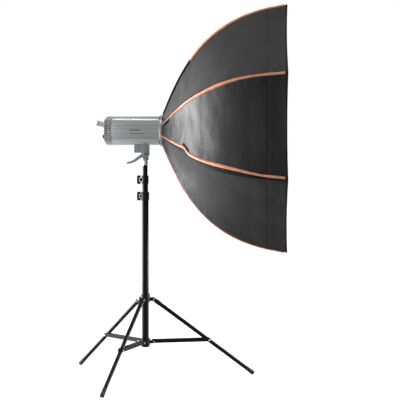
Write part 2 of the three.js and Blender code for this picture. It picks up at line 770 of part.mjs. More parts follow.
// Points down the seam from the neck to the rim, moved in from the outer face by inset.
function seamPoints(inset) {
  const points = [];
  for (let i = 0; i <= softbox.steps; i += 1) {
    const at = seam.getPoint(i / softbox.steps);
    const along = seam.getTangent(i / softbox.steps);
    points.push([at.x + inset * along.y, at.y - inset * along.x]);
  }
  return [...points, [softbox.rim[0], softbox.rim[1] - inset]];
}

// The seam's distance from the axis at a given x, measured to the outer face.
function seamHeightAt(x) {
  const points = seamPoints(0);
  const after = points.findIndex(([px]) => px >= x);
  const [x0, r0] = points[after - 1];
  const [x1, r1] = points[after];
  return r0 + ((r1 - r0) * (x - x0)) / (x1 - x0);
}

const CORNER = Math.PI / softbox.sides;
const octagonal = (profile) => turned(profile, 'x', softbox.sides, CORNER);
const octagonSheet = (cornerRadius, at) => octagonal([
  [0, at],
  [cornerRadius, at],
  [cornerRadius, at + diffuserThickness],
  [0, at + diffuserThickness],
]);

function addSoftboxFabric() {
  const outside = seamPoints(0).map(([x, radius]) => [radius, x]);
  const inside = seamPoints(softbox.thickness).map(([x, radius]) => [radius, x]).reverse();
  add('softbox_shell', octagonal([...outside, ...inside, outside[0]]), MATERIALS.blackFabric,
    softboxUnit);
  const frontCorner = seamHeightAt(frontDiffuserAt) - 14;
  add('front_diffuser', octagonSheet(frontCorner, frontDiffuserAt), MATERIALS.whiteFabric,
    softboxUnit);
  const innerCorner = seamHeightAt(innerDiffuserAt) - 40;
  add('inner_diffuser', octagonSheet(innerCorner, innerDiffuserAt), MATERIALS.whiteFabric,
    softboxUnit);
}

// The ring that takes the rods: each rod enters a short tube on the ring's front face.
function addRingAndRods() {
  const path = seamPoints(rodInset);
  const [[x0, r0], [x1, r1]] = path;
  const slope = Math.atan2(r1 - r0, x1 - x0);
  const back = 8;
  const rootX = x0 - back * Math.cos(slope);
  const rootR = r0 - back * Math.sin(slope);
  const socketLength = 9;
  const cornerAngles = Array.from({ length: softbox.sides }, (_, i) => CORNER * (2 * i + 1));

  const sockets = cornerAngles.map((angle) =>
    rod(6, 0, socketLength, 'x', 8)
      .rotateY(-slope)
      .translate(rootX - 3 * Math.cos(slope), 0, rootR - 3 * Math.sin(slope))
      .rotateX(angle),
  );
  const bores = cornerAngles.map((angle) =>
    rod(rodRadius + GAP, 0, 60, 'x', 6)
      .rotateY(-slope)
      .translate(rootX - GAP * Math.cos(slope), 0, rootR - GAP * Math.sin(slope))
      .rotateX(angle),
  );
  const { rear, front, inner, outer } = speedRing;
  const body = join(ring(inner, outer, rear, front, 'x', RING_SIDES), ...sockets);
  const throat = rod(inner, rear - 20, front + 40, 'x', RING_SIDES);
  const behind = box(rear - 40, rear, -200, 200, -200, 200);
  add('speed_ring', cut(body, throat, behind, ...bores), MATERIALS.ringGrey, softboxUnit);

  const points = [[rootX, rootR], ...path.slice(1, -1), [softbox.rim[0] - 12, path.at(-1)[1] - 2]];
  cornerAngles.forEach((angle, index) => {
    const curve = new THREE.CatmullRomCurve3(
      points.map(([x, radius]) => new THREE.Vector3(x, 0, radius).applyAxisAngle(X, angle)),
    );
    const geometry = new THREE.ExtrudeGeometry(polygonSection(rodRadius, 6), {
      steps: 18,
      extrudePath: curve,
      bevelEnabled: false,
    });
    add(`rod_${index + 1}`, geometry, MATERIALS.steel, softboxUnit);
  });
}

// ---------------------------------------------------------------- assembly

addColumn();
addTripod();
addLocks();
addStud();
addSocket();
addBracket();
addTiltLever();
addHousing();
addRearControls();
addFlashFront();
addFlashInside();
addSoftboxFabric();
addRingAndRods();

// The origin is the middle of the footprint, on the floor.
object.updateMatrixWorld(true);
const extent = new THREE.Box3().setFromObject(object, true);
object.position.x = -(extent.min.x + extent.max.x) / 2;
object.position.y = -(extent.min.y + extent.max.y) / 2;

export default object;
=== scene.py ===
import math
import random

import bmesh
import bpy
import numpy as np
from mathutils import Matrix, Vector, noise


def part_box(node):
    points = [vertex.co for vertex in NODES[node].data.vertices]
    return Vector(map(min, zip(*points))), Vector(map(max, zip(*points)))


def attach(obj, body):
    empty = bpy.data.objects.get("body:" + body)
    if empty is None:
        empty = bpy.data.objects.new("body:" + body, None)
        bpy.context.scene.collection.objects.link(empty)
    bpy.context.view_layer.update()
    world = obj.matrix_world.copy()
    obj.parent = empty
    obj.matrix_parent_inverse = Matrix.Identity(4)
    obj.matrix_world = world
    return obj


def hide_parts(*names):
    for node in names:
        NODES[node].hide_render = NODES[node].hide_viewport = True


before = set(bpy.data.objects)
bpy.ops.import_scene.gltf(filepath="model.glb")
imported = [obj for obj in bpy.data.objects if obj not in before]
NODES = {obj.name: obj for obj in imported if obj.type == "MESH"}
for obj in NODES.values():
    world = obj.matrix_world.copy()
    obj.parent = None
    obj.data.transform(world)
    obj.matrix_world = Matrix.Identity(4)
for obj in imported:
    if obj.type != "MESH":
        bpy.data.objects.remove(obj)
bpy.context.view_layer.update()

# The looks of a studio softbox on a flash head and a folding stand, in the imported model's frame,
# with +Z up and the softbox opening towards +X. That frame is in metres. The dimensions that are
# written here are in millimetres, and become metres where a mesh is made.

MM = 0.001


def middle(node):
    low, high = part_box(node)
    return (low + high) / 2


def box_mm(node):
    """A CAD node's two corners in millimetres."""
    low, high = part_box(node)
    return low / MM, high / MM


COLUMN_X = middle("column_tube").x
AXIS_Z = middle("body_shell").z
# The same two places in millimetres.
COLUMN = (COLUMN_X / MM, 0, 0)
AXIS = AXIS_Z / MM


# ---------------------------------------------------------------- camera

CAMERA_PLACE = (COLUMN_X + 0.6443, -6.3, 1.0914)
CAMERA_TILT = (math.pi / 2 - 0.0283, 0.0008, 0.0577)
CAMERA_LENS = 111.6


def add_camera():
    data = bpy.data.cameras.new("camera")
    data.sensor_width = 36
    data.lens = CAMERA_LENS
    camera = bpy.data.objects.new("camera", data)
    camera.location = CAMERA_PLACE
    camera.rotation_euler = CAMERA_TILT
    bpy.context.scene.collection.objects.link(camera)
    bpy.context.scene.camera = camera


add_camera()


# ---------------------------------------------------------------- materials

class Shader:
    """One Principled material with short calls for its nodes. A pattern is a noise
    (scale, detail, stretch), a wave (direction, scale, distortion), or two patterns put together
    (operation, pattern, pattern)."""

    def __init__(self, name, base, roughness, metallic=0.0, **sockets):
        self.material = bpy.data.materials.new(f"{name}_finish")
        self.material.use_nodes = True
        self.tree = self.material.node_tree
        self.principled = self.tree.nodes["Principled BSDF"]
        self.base = base
        self.set("Base Color", (*base, 1))
        self.set("Roughness", roughness)
        self.set("Metallic", metallic)
        for socket, value in sockets.items():
            self.set(socket.replace("_", " "), value)
        self.place = self.node("ShaderNodeTexCoord").outputs["Object"]
        self.normal = None

    def set(self, socket, value):
        self.principled.inputs[socket].default_value = value

    def node(self, kind, **settings):
        made = self.tree.nodes.new(kind)
        for name, value in settings.items():
            setattr(made, name, value)
        return made

    def link(self, output, socket):
        self.tree.links.new(output, socket)

    def noise(self, scale, detail=3.0, stretch=(1, 1, 1)):
        mapping = self.node("ShaderNodeMapping")
        mapping.inputs["Scale"].default_value = stretch
        self.link(self.place, mapping.inputs["Vector"])
        texture = self.node("ShaderNodeTexNoise")
        texture.inputs["Scale"].default_value = scale
        texture.inputs["Detail"].default_value = detail
        self.link(mapping.outputs["Vector"], texture.inputs["Vector"])
        return texture.outputs["Fac"]

    def wave(self, direction, scale, distortion=0.0):
        texture = self.node("ShaderNodeTexWave", bands_direction=direction)
        texture.inputs["Scale"].default_value = scale
        texture.inputs["Distortion"].default_value = distortion
        self.link(self.place, texture.inputs["Vector"])
        return texture.outputs["Fac"]

    def pattern(self, spec):
        if not isinstance(spec[0], str):
            return self.noise(*spec)
        if not isinstance(spec[1], tuple):
            return self.wave(*spec)
        maths = self.node("ShaderNodeMath", operation=spec[0])
        for part, socket in zip(spec[1:], maths.inputs):
            self.link(self.pattern(part), socket)
        return maths.outputs[0]

    def ramp(self, factor, low, high, at=(0.3, 0.7)):
        """Goes from low to high as the factor goes from one value to the other."""
        ramp = self.node("ShaderNodeMapRange")
        for socket, value in zip(("From Min", "From Max", "To Min", "To Max"), (*at, low, high)):
            ramp.inputs[socket].default_value = value
        self.link(factor, ramp.inputs["Value"])
        return ramp.outputs["Result"]

    def colours(self, spec, *stops):
        """Base colour from a pattern. Each stop is (position, share of the base or a colour)."""
        ramp = self.node("ShaderNodeValToRGB")
        elements = ramp.color_ramp.elements
        while len(elements) < len(stops):
            elements.new(1.0)
        for element, (position, colour) in zip(elements, stops):
            if not isinstance(colour, tuple):
                colour = tuple(min(1, part * colour) for part in self.base)
            element.position = position
            element.color = (*colour, 1)
        self.link(self.pattern(spec), ramp.inputs["Fac"])
        self.link(ramp.outputs["Color"], self.principled.inputs["Base Color"])

    def rough(self, spec, low, high, at=(0.3, 0.7)):
        factor = self.ramp(self.pattern(spec), low, high, at)
        self.link(factor, self.principled.inputs["Roughness"])

    def bump(self, spec, distance, strength, at=None):
        """One more layer of bump, over those already there. With at, only the pattern's peaks."""
        bump = self.node("ShaderNodeBump")
        bump.inputs["Distance"].default_value = distance
        bump.inputs["Strength"].default_value = strength
        factor = self.pattern(spec)
        self.link(self.ramp(factor, 0, 1, at) if at else factor, bump.inputs["Height"])
        if self.normal is not None:
            self.link(self.normal, bump.inputs["Normal"])
        self.normal = bump.outputs["Normal"]
        self.link(self.normal, self.principled.inputs["Normal"])


MATERIALS = {}


def finish(name, base, roughness, metallic=0.0, colours=None, rough=None, bumps=(), slot=None,
           **sockets):
    shader = Shader(name, base, roughness, metallic, **sockets)
    if colours:
        shader.colours(*colours)
    if rough:
        shader.rough(*rough)
    for bump in bumps:
        shader.bump(*bump)
    MATERIALS[name] = shader.material


# Satin-coated nylon: a fine weave, creases from being packed, and a soft sheen.
finish("black_cloth", (0.0105, 0.0105, 0.0113), 0.42, slot="black_nylon",
       colours=((7, 4), (0.3, 0.82), (0.75, 1.25)), rough=((16, 4), 0.4, 0.5),
       bumps=(((26, 5), 0.0022, 0.55), ((70, 4), 0.0008, 0.5),
              (("MAXIMUM", ("X", 420), ("Z", 420)), 0.00012, 0.3)),
       Specular_IOR_Level=0.32, Sheen_Weight=0.1, Sheen_Roughness=0.5)
finish("silver_lining", (0.62, 0.63, 0.64), 0.34, 0.75, slot="black_nylon",
       colours=((30, 4), (0.3, 0.85), (0.7, 1.1)),
       bumps=(((60, 5), 0.002, 0.4), (("DIAGONAL", 300), 0.0002, 0.3)))
# Satin bias tape: cross ribs, and a tone that is darker or a little faded in random patches.
finish("orange_webbing", (0.84, 0.315, 0.165), 0.34, slot="black_nylon",
       colours=((22, 4), (0.25, 0.74), (0.7, 1.18)), rough=((40, 3), 0.31, 0.44),
       bumps=(((55, 4), 0.0011, 0.5), (("X", 260), 0.00018, 0.5)),
       Specular_IOR_Level=0.8, Sheen_Weight=0.6, Sheen_Roughness=0.35,
       Sheen_Tint=(1.0, 0.8, 0.68, 1.0))
finish("black_tape", (0.012, 0.012, 0.013), 0.6, slot="black_nylon",
       colours=((40,), (0.3, (0.009, 0.009, 0.01)), (0.7, (0.017, 0.017, 0.018))),
       bumps=((("DIAGONAL", 260), 0.0002, 0.6),), Specular_IOR_Level=0.15)
# Matt near-black that stands in for shade: the rod pockets' lining, dark enough to pass for the
# shadow inside the seam openings, and painted shade on the top tapes near the neck.
finish("pocket_black", (0.003, 0.003, 0.003), 0.95, slot="black_nylon",
       colours=((90,), (0.3, (0.002, 0.002, 0.002)), (0.7, (0.004, 0.004, 0.004))),
       bumps=(((500,), 0.0002, 0.4),), Specular_IOR_Level=0.03)
# Diffuser cloth: translucent ripstop, which sends back about half the light on it.
finish("white_nylon", (0.5, 0.5, 0.495), 0.6, colours=((6, 4), (0.3, 0.96), (0.7, 1)),
       rough=((20,), 0.55, 0.68),
       bumps=((("MAXIMUM", ("Y", 32), ("Z", 32)), 0.0003, 0.4, (0.9, 1.0)),
              ((35, 5), 0.0015, 0.3)),
       Subsurface_Weight=0.15, Subsurface_Scale=0.003)
finish("hook_tape", (0.03, 0.03, 0.032), 0.85, slot="black_nylon",
       colours=((500,), (0.3, (0.018, 0.018, 0.02)), (0.7, (0.05, 0.05, 0.052))),
       bumps=(((900, 2), 0.0006, 0.8),))
for thread, colour, sewn_in in (
    ("orange_thread", (0.5, 0.13, 0.05), "black_nylon"),
    ("white_thread", (0.75, 0.75, 0.74), "white_nylon"),
):
    finish(thread, colour, 0.6, slot=sewn_in, colours=((300,), (0.3, 0.8), (0.7, 1.2)),
           bumps=((("DIAGONAL", 900), 0.0001, 0.6),))
# Black enamel on steel tube: orange peel, dust and faint scuffs along the tube.
finish("gloss_black", (0.002, 0.002, 0.0022), 0.4, slot="black_tube",
       colours=((60, 5, (1, 1, 0.12)), (0.35, 1), (0.8, (0.005, 0.005, 0.0054))),
       rough=((60, 5, (1, 1, 0.12)), 0.3, 0.5, (0.4, 0.75)),
       bumps=(((240, 2), 0.00025, 0.12),),
       Specular_IOR_Level=0.02, Coat_Weight=0.35, Coat_Roughness=0.34, Coat_IOR=1.5)
# Matt enamel on the folding braces.
finish("matt_black", (0.006, 0.006, 0.0065), 0.55, slot="black_tube",
       colours=((60, 4), (0.3, 1), (0.8, (0.012, 0.012, 0.0125))), rough=((90, 4), 0.48, 0.66),
       bumps=(((600, 2), 0.00012, 0.3),), Specular_IOR_Level=0.12)
# Glass-filled nylon moulding with a fine spark texture.
finish("black_plastic", (0.006, 0.006, 0.0066), 0.36,
       colours=((30, 4), (0.3, 0.8), (0.75, 1.35)), rough=((90, 4), 0.3, 0.46),
       bumps=(((1500, 2), 0.00015, 0.35),), Specular_IOR_Level=0.25)
finish("rubber", (0.022, 0.022, 0.022), 0.72,
       colours=((45, 5), (0.3, 0.75), (0.7, (0.045, 0.043, 0.04))), rough=((60, 4), 0.62, 0.85),
       bumps=(((700, 3), 0.0003, 0.5),))
finish("chrome", (0.86, 0.87, 0.88), 0.08, 1.0, rough=((80, 5, (1, 1, 6)), 0.05, 0.16),
       bumps=(((300, 2), 0.00005, 0.2),))
# Zinc-plated fasteners.
finish("steel", (0.6, 0.61, 0.62), 0.3, 1.0,
       colours=((120, 4), (0.3, (0.5, 0.5, 0.5)), (0.7, (0.68, 0.69, 0.7))),
       rough=((200, 4), 0.24, 0.42), bumps=(((800, 2), 0.00008, 0.3),))
# Powder-coated casting: a fine pebble, rubbed brighter in patches.
finish("cast_grey", (0.42, 0.445, 0.49), 0.42, 0.25,
       colours=((50, 5), (0.28, 0.72), (0.62, 1), (0.85, 1.4)), rough=((90, 4), 0.36, 0.54),
       bumps=(((60, 3), 0.0008, 0.25), ((1100, 3), 0.0003, 0.4)))
# Satin-anodised extrusion: fine draw lines along its length.
finish("silver_housing", (0.6, 0.61, 0.615), 0.33, 0.85,
       colours=((1, 3, (1.5, 420, 420)), (0.3, 0.9), (0.7, 1.08)),
       rough=((1, 4, (4, 160, 160)), 0.28, 0.38),
       bumps=(((1, 3, (1.5, 420, 420)), 0.00002, 0.2),))
# Moulded grey plastic with a fine grain. The carrying handle's is paler than the rear cover's.
finish("cover_grey", (0.46, 0.475, 0.515), 0.44, colours=((35, 4), (0.3, 0.86), (0.7, 1.12)),
       rough=((110, 4), 0.38, 0.52), bumps=(((1300, 2), 0.0002, 0.4),))
finish("handle_grey", (0.62, 0.635, 0.67), 0.4, slot="cover_grey",
       colours=((35, 4), (0.3, 0.86), (0.7, 1.12)), rough=((110, 4), 0.34, 0.5),
       bumps=(((1300, 2), 0.0002, 0.4),))
# Die-cast front ring, satin and slightly blue.
finish("ring_grey", (0.56, 0.575, 0.61), 0.36, 0.7, colours=((70, 4), (0.3, 0.85), (0.7, 1.12)),
       rough=((150, 4), 0.3, 0.44), bumps=(((900, 2), 0.0001, 0.3),))
finish("vent_dark", (0.17, 0.178, 0.2), 0.6, slot="cover_grey",
       colours=((90,), (0.3, (0.13, 0.137, 0.155)), (0.7, (0.21, 0.22, 0.24))),
       bumps=(((900,), 0.0002, 0.4),))
finish("marking_ink", (0.1, 0.105, 0.105), 0.5, slot="black_plastic",
       colours=((400, 3), (0.3, (0.07, 0.075, 0.075)), (0.7, (0.14, 0.145, 0.145))),
       bumps=(((900, 2), 0.00003, 0.3),))
finish("clear_glass", (0.95, 0.96, 0.96), 0.05, slot="glass", rough=((60, 3), 0.03, 0.12),
       bumps=(((90, 2), 0.0001, 0.1),), Transmission_Weight=0.85, IOR=1.45)
finish("ceramic", (0.78, 0.74, 0.66), 0.45, colours=((80, 4), (0.3, 0.9), (0.7, 1)),
       bumps=(((500, 3), 0.0003, 0.4),))
finish("capacitor_sleeve", (0.02, 0.028, 0.05), 0.3, slot="capacitor",
       colours=((40, 4), (0.3, 0.8), (0.7, 1.3)), bumps=(((120, 4), 0.0004, 0.3),))
# Solder mask over copper tracks: a square maze in the board's plane.
finish("circuit_green", (0.03, 0.14, 0.06), 0.3, slot="circuit",
       colours=(("MULTIPLY", ("X", 60, 6), ("Y", 60, 6)),
                (0.3, (0.02, 0.1, 0.045)), (0.5, (0.05, 0.2, 0.09))),
       bumps=((("MULTIPLY", ("X", 60, 6), ("Y", 60, 6)), 0.0002, 0.5),))


# ---------------------------------------------------------------- mesh helpers

def mesh_object(name, points, faces, *materials, crease_angle=35):
    """A mesh with its faces turned outwards, smooth except across edges sharper than the angle."""
    mesh = bpy.data.meshes.new(name)
    mesh.from_pydata([tuple(p) for p in points], [], faces)
    for material in materials:
        mesh.materials.append(MATERIALS[material])
    bm = bmesh.new()
    bm.from_mesh(mesh)
    bmesh.ops.remove_doubles(bm, verts=bm.verts, dist=1e-6)
    bmesh.ops.recalc_face_normals(bm, faces=bm.faces)
    limit = math.radians(crease_angle)
    for edge in bm.edges:
        edge.smooth = len(edge.link_faces) == 2 and edge.calc_face_angle(0) < limit
    for face in bm.faces:
        face.smooth = True
    bm.to_mesh(mesh)
    bm.free()
    return in_scene(name, mesh)


def in_scene(name, mesh):
    obj = bpy.data.objects.new(name, mesh)
    bpy.context.scene.collection.objects.link(obj)
    return obj


def settle(obj, body, *replaced):
    """The piece rides on its body and stands for the CAD nodes, which are hidden."""
    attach(obj, body)
    if replaced:
        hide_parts(*replaced)
    return obj


def grid_faces(rows, columns, wrap_rows=False, wrap_columns=False):
    faces = []
    for r in range(rows if wrap_rows else rows - 1):
        for c in range(columns if wrap_columns else columns - 1):
            r2, c2 = (r + 1) % rows, (c + 1) % columns
            faces.append((r * columns + c, r2 * columns + c, r2 * columns + c2, r * columns + c2))
    return faces


def loft(name, rows, *materials, wrap_rows=False, crease_angle=35):
    """A skin over closed sections with the same number of points: a ring, or capped at its ends."""
    rows = [list(row) for row in rows]
    count = len(rows[0])
    points = [p for row in rows for p in row]
    faces = grid_faces(len(rows), count, wrap_rows, True)
    if not wrap_rows:
        faces.append(tuple(range(count)))
        faces.append(tuple((len(rows) - 1) * count + i for i in range(count)))
    return mesh_object(name, points, faces, *materials, crease_angle=crease_angle)


def rounded(corners, radius, steps=4, closed=True):
    """An outline in two dimensions with its corners rounded. A corner may carry its own radius."""
    result = []
    count = len(corners)
    for i, corner in enumerate(corners):
        r = corner[2] if len(corner) > 2 else radius
        here = Vector(corner[:2])
        if r <= 0 or (not closed and i in (0, count - 1)):
            result.append(tuple(here))
            continue
        before = Vector(corners[i - 1][:2]) - here
        after = Vector(corners[(i + 1) % count][:2]) - here
        half = before.angle(after) / 2
        reach = min(r / math.tan(half), before.length * 0.49, after.length * 0.49)
        start, end = here + before.normalized() * reach, here + after.normalized() * reach
        for k in range(steps + 1):
            t = k / steps
            result.append(tuple((1 - t) ** 2 * start + 2 * t * (1 - t) * here + t * t * end))
    return result


def rectangle(left, low, right, high):
    return [(left, low), (right, low), (right, high), (left, high)]


AXES = {
    "x": Matrix(((0, 0, 1), (1, 0, 0), (0, 1, 0))),
    "y": Matrix(((0, 1, 0), (0, 0, 1), (1, 0, 0))),
    "z": Matrix(((1, 0, 0), (0, 1, 0), (0, 0, 1))),
}
# A profile's least radius, in place of a point on the axis.
CORE = 0.001


def turned(name, corners, axis, centre, material, sides=64, wave=None, closed=False, corner=0):
    """A solid of revolution about an axis through centre, all in millimetres. Each corner of the
    profile is (radius, along), and may carry its own rounding in place of corner. A wave is
    (count, depth, least radius): ribs round every part of that radius or more."""
    rows = []
    for radius, along in rounded(corners, corner, 3, closed):
        row = []
        for i in range(sides):
            angle = math.tau * i / sides
            rib = wave[1] * math.cos(wave[0] * angle) if wave and radius >= wave[2] else 0
            reach = radius + rib
            spot = Vector((reach * math.cos(angle), reach * math.sin(angle), along))
            row.append((AXES[axis] @ spot + Vector(centre)) * MM)
        rows.append(row)
    return loft(name, rows, material, wrap_rows=closed)


def tube_corners(radius, wall, low, high):
    """The closed profile of an open tube."""
    return rectangle(radius - wall, low, radius, high)


TUBE_RIM = 0.6


def bevelled(obj, width, segments=3, angle=35):
    """Rounds the edges sharper than the angle, by a width in millimetres."""
    bevel = obj.modifiers.new("edges", "BEVEL")
    bevel.width = width * MM
    bevel.segments = segments
    bevel.limit_method = "ANGLE"
    bevel.angle_limit = math.radians(angle)
    bevel.harden_normals = True
    return obj


def prism(outline, near, far):
    """The points and faces of an outline in x and z, carried from one y to another."""
    count = len(outline)
    points = [Vector((x, y, z)) * MM for y in (near, far) for x, z in outline]
    faces = [tuple(range(count)), tuple(range(2 * count - 1, count - 1, -1))]
    faces += [(i, i + count, (i + 1) % count + count, (i + 1) % count) for i in range(count)]
    return points, faces


def plate(name, outline, near, far, material, edge=0.8, segments=3):
    """A prism with rounded edges, all in millimetres."""
    return bevelled(mesh_object(name, *prism(outline, near, far), material), edge, segments)


def refine(node, material, width=0.8, segments=2, angle=30):
    """Keeps a CAD node's shape, with rounded edges, smooth shading and its own material."""
    obj = NODES[node]
    obj.material_slots[0].material = MATERIALS[material]
    custom = obj.data.attributes.get("custom_normal")
    if custom:
        obj.data.attributes.remove(custom)
    obj.data.polygons.foreach_set("use_smooth", [True] * len(obj.data.polygons))
    weld = obj.modifiers.new("weld", "WELD")
    weld.merge_threshold = 1e-5
    flatten = obj.modifiers.new("flatten", "DECIMATE")
    flatten.decimate_type = "DISSOLVE"
    flatten.angle_limit = math.radians(0.5)
    return bevelled(obj, width, segments, angle)


SIDES = {"near": -1, "far": 1}


# ---------------------------------------------------------------- stand: column

TUBE_WALL = 2
# The space between a turned piece's shoulder and what it stands against.
SEAT_GAP = 0.3


def add_tubes():
    for node, body in (
        ("column_tube", "column"),
        ("middle_tube", "middle_section"),
        ("top_tube", "top_section"),
    ):
        low, high = box_mm(node)
        profile = tube_corners((high.y - low.y) / 2, TUBE_WALL * 0.8, low.z, high.z)
        tube = turned(f"{node}_skin", profile, "z", COLUMN, "gloss_black", closed=True,
                      corner=TUBE_RIM)
        settle(tube, body, node)


def add_end_cap():
    """A ribbed cap with a hollow underneath and a plug that goes up into the tube."""
    low, high = box_mm("column_end_cap")
    tube_low, tube_high = box_mm("column_tube")
    radius = (high.y - low.y) / 2
    hollow = low.z + 1.5
    shoulder = tube_low.z - SEAT_GAP
    plug = tube_high.y - TUBE_WALL - SEAT_GAP
    cap = turned("end_cap_ribbed", [
        (CORE, hollow),
        (radius * 0.55, hollow, 1),
        (radius * 0.6, low.z, 0.5),
        (radius, low.z, 1.6),
        (radius, shoulder, 0.8),
        (plug, shoulder),
        (plug, high.z, 1),
        (CORE, high.z),
    ], "z", COLUMN, "black_plastic", sides=144, wave=(24, 0.35, radius * 0.98))
    settle(cap, "column", "column_end_cap")


def add_lock_collar(number, node, body):
    """A moulded collar with a grip band round each of its ends."""
    refine(node, "black_plastic", 1.0, 3, 40)
    low, high = box_mm(node)
    inner = (high.y - low.y) / 2 - 1.0
    outer = inner + 1.9
    for end, share in (("low", 0.16), ("high", 0.84)):
        z = low.z + share * (high.z - low.z)
        corners = [(inner, z - 2.2), (outer, z - 1.6), (outer, z + 1.6), (inner, z + 2.2)]
        band = turned(f"lock_band_{number}_{end}", corners, "z", COLUMN, "black_plastic",
                      closed=True, corner=0.7)
        settle(band, body)


# How far a clamp knob's wings reach in from its outer face, how high each wing is, and how thick
# the bar between them is.
KNOB_WING_REACH = 18.5
KNOB_WING = 12
KNOB_BAR = 9.5
THREAD_PITCH = 1.25


def threaded(radius, start, end):
    """A screw's profile: rings of thread between two plain ends."""
    root = radius - 0.35 * THREAD_PITCH
    profile = [(CORE, start), (radius, start)]
    turns = max(1, round((end - start) / THREAD_PITCH) - 1)
    for i in range(turns):
        at = start + (i + 0.5) * (end - start) / turns
        profile += [(root, at - THREAD_PITCH / 4), (radius, at)]
    return profile + [(root, end), (CORE, end)]


def add_clamp_knob(name, node):
    """The C-shaped clamp knob: a moulded bar with two swept wings, on a steel screw. It is named
    after its body."""
    low, high = box_mm(node)
    z = (low.z + high.z) / 2
    half = (high.z - low.z) / 2
    outer, inner, bar = low.x, low.x + KNOB_WING_REACH, low.x + KNOB_BAR
    wing = [
        (bar, half - KNOB_WING - 1.5, 3),
        (inner, half - KNOB_WING, 3.2),
        (inner, half, 3.2),
        (outer + 4, half, 4),
        (outer, half - 4, 3),
    ]
    outline = [(x, z - up, r) for x, up, r in reversed(wing)]
    outline += [(x, z + up, r) for x, up, r in wing]
    handle = plate(f"{name}_handle", rounded(outline, 0, 5), low.y, high.y, "black_plastic", 1.8, 4)
    settle(handle, name, node)
    boss_corners = [(CORE, outer - 0.6), (5.5, outer - 0.6, 1), (6.5, bar + 2, 1), (CORE, bar + 2)]
    boss = turned(f"{name}_boss", boss_corners, "x", (0, 0, z), "black_plastic", sides=40)
    settle(boss, name)
    screw = turned(f"{name}_screw", threaded(3.4, bar + 1.5, high.x - 0.2), "x", (0, 0, z), "steel",
                   sides=32)
    settle(screw, name)


add_tubes()
add_end_cap()
add_lock_collar(1, "lower_lock_collar", "column")
add_lock_collar(2, "upper_lock_collar", "middle_section")
add_clamp_knob("lower_knob", "lower_lock_knob")
add_clamp_knob("upper_knob", "upper_lock_knob")
refine("hub_lock_knob", "black_plastic", 1.4, 3)


# ---------------------------------------------------------------- stand: tripod

LEG_COUNT = 3
LEG_RADIUS = 10
LEG_LENGTH = 648
# Between a brace's two pivots. The braces lie level at rest.
BRACE_LENGTH = 289
# Half the width across a brace's outer faces.
BRACE_FACE = 12
FOOT_RADIUS = 11.5
FOOT_RIBS = 6
# A rivet's head: (radius, distance from the brace's face).
RIVET_DOME = ((CORE, 3.2), (2.2, 2.9), (4.2, 2.0), (5.2, 0.6), (5.2, 0.2), (CORE, 0.2))
ORIGIN = (0, 0, 0)
UP = Vector((0, 0, 1))


def leg_outwards(number):
    """The level direction from the column to a leg's hinge."""
    pin = middle(f"leg_pin_{number}")
    return Vector((pin.x - COLUMN_X, pin.y, 0)).normalized()


def laid_along(obj, number, pin, along):
    """Moves a piece that was made about the origin: to a pin, with its x axis along a direction in
    the upright plane of a leg."""
    across = UP.cross(leg_outwards(number))
    turn = Matrix((along, across, along.cross(across))).transposed()
    obj.data.transform(Matrix.Translation(middle(pin)) @ turn.to_4x4())
    return obj


def cut_level(foot):
    """Cuts a foot level where it stands on the floor."""
    bm = bmesh.new()
    bm.from_mesh(foot.data)
    geometry = bm.verts[:] + bm.edges[:] + bm.faces[:]
    cut = bmesh.ops.bisect_plane(bm, geom=geometry, plane_co=ORIGIN, plane_no=-UP,
                                 clear_outer=True)
    edges = [g for g in cut["geom_cut"] if isinstance(g, bmesh.types.BMEdge)]
    bmesh.ops.edgeloop_fill(bm, edges=edges)
    bm.to_mesh(foot.data)
    bm.free()


def foot_profile():
    """A ribbed rubber foot over the end of the tube."""
    seat, bottom = LEG_RADIUS + 0.3, LEG_LENGTH + 0.3
    start, end = LEG_LENGTH - 34, LEG_LENGTH + 14
    ridge, valley = FOOT_RADIUS - 0.6, FOOT_RADIUS - 1.5
    profile = [(seat, start), (FOOT_RADIUS - 1.2, start), (ridge, start + 1)]
    for i in range(FOOT_RIBS):
        at = start + 4 * (i + 1)
        profile += [(ridge, at), (valley, at + 0.8), (valley, at + 1.6), (ridge, at + 2.4)]
    return profile + [
        (FOOT_RADIUS, end - 16), (FOOT_RADIUS, end - 4), (FOOT_RADIUS - 1.2, end - 1.2),
        (FOOT_RADIUS - 4, end), (CORE, end), (CORE, bottom), (seat, bottom),
    ]


def add_leg(number):
    """A tube with a moulded fork at its hinge and a rubber foot."""
    pin, body = f"leg_pin_{number}", f"leg_{number}_assembly"
    drop = middle(f"brace_pin_{number}").z - middle(pin).z
    down = (leg_outwards(number) * BRACE_LENGTH * MM + UP * drop).normalized()

    tube_profile = tube_corners(LEG_RADIUS, 1.4, 24, LEG_LENGTH - 1)
    tube = turned(f"leg_tube_{number}", tube_profile, "x", ORIGIN, "gloss_black", sides=48,
                  closed=True, corner=TUBE_RIM)
    settle(laid_along(tube, number, pin, down), body, f"leg_{number}")

    bore = LEG_RADIUS + 0.05
    sleeve_corners = [(bore, 16), (11.5, 16, 1.5), (11.5, 38, 1), (10.8, 44, 0.6), (bore, 44)]
    sleeve = turned(f"leg_sleeve_{number}", sleeve_corners, "x", ORIGIN, "black_plastic", sides=48,
                    closed=True)
    settle(laid_along(sleeve, number, pin, down), body)

    eye = rounded([(-9.5, -9.5, 9), (20, -9.5, 2), (26, -6, 3), (26, 6, 3), (20, 9.5, 2),
                   (-9.5, 9.5, 9)], 0, 8)
    for side, (near, far) in {"left": (5.6, 11), "right": (-11, -5.6)}.items():
        cheek = plate(f"leg_fork_{number}_{side}", eye, near, far, "black_plastic", 0.9)
        settle(laid_along(cheek, number, pin, down), body)
    refine(pin, "steel", 0.6, 3)

    foot = turned(f"foot_rubber_{number}", foot_profile(), "x", ORIGIN, "rubber", sides=56,
                  closed=True)
    cut_level(laid_along(foot, number, pin, down))
    settle(foot, body, f"foot_cap_{number}")


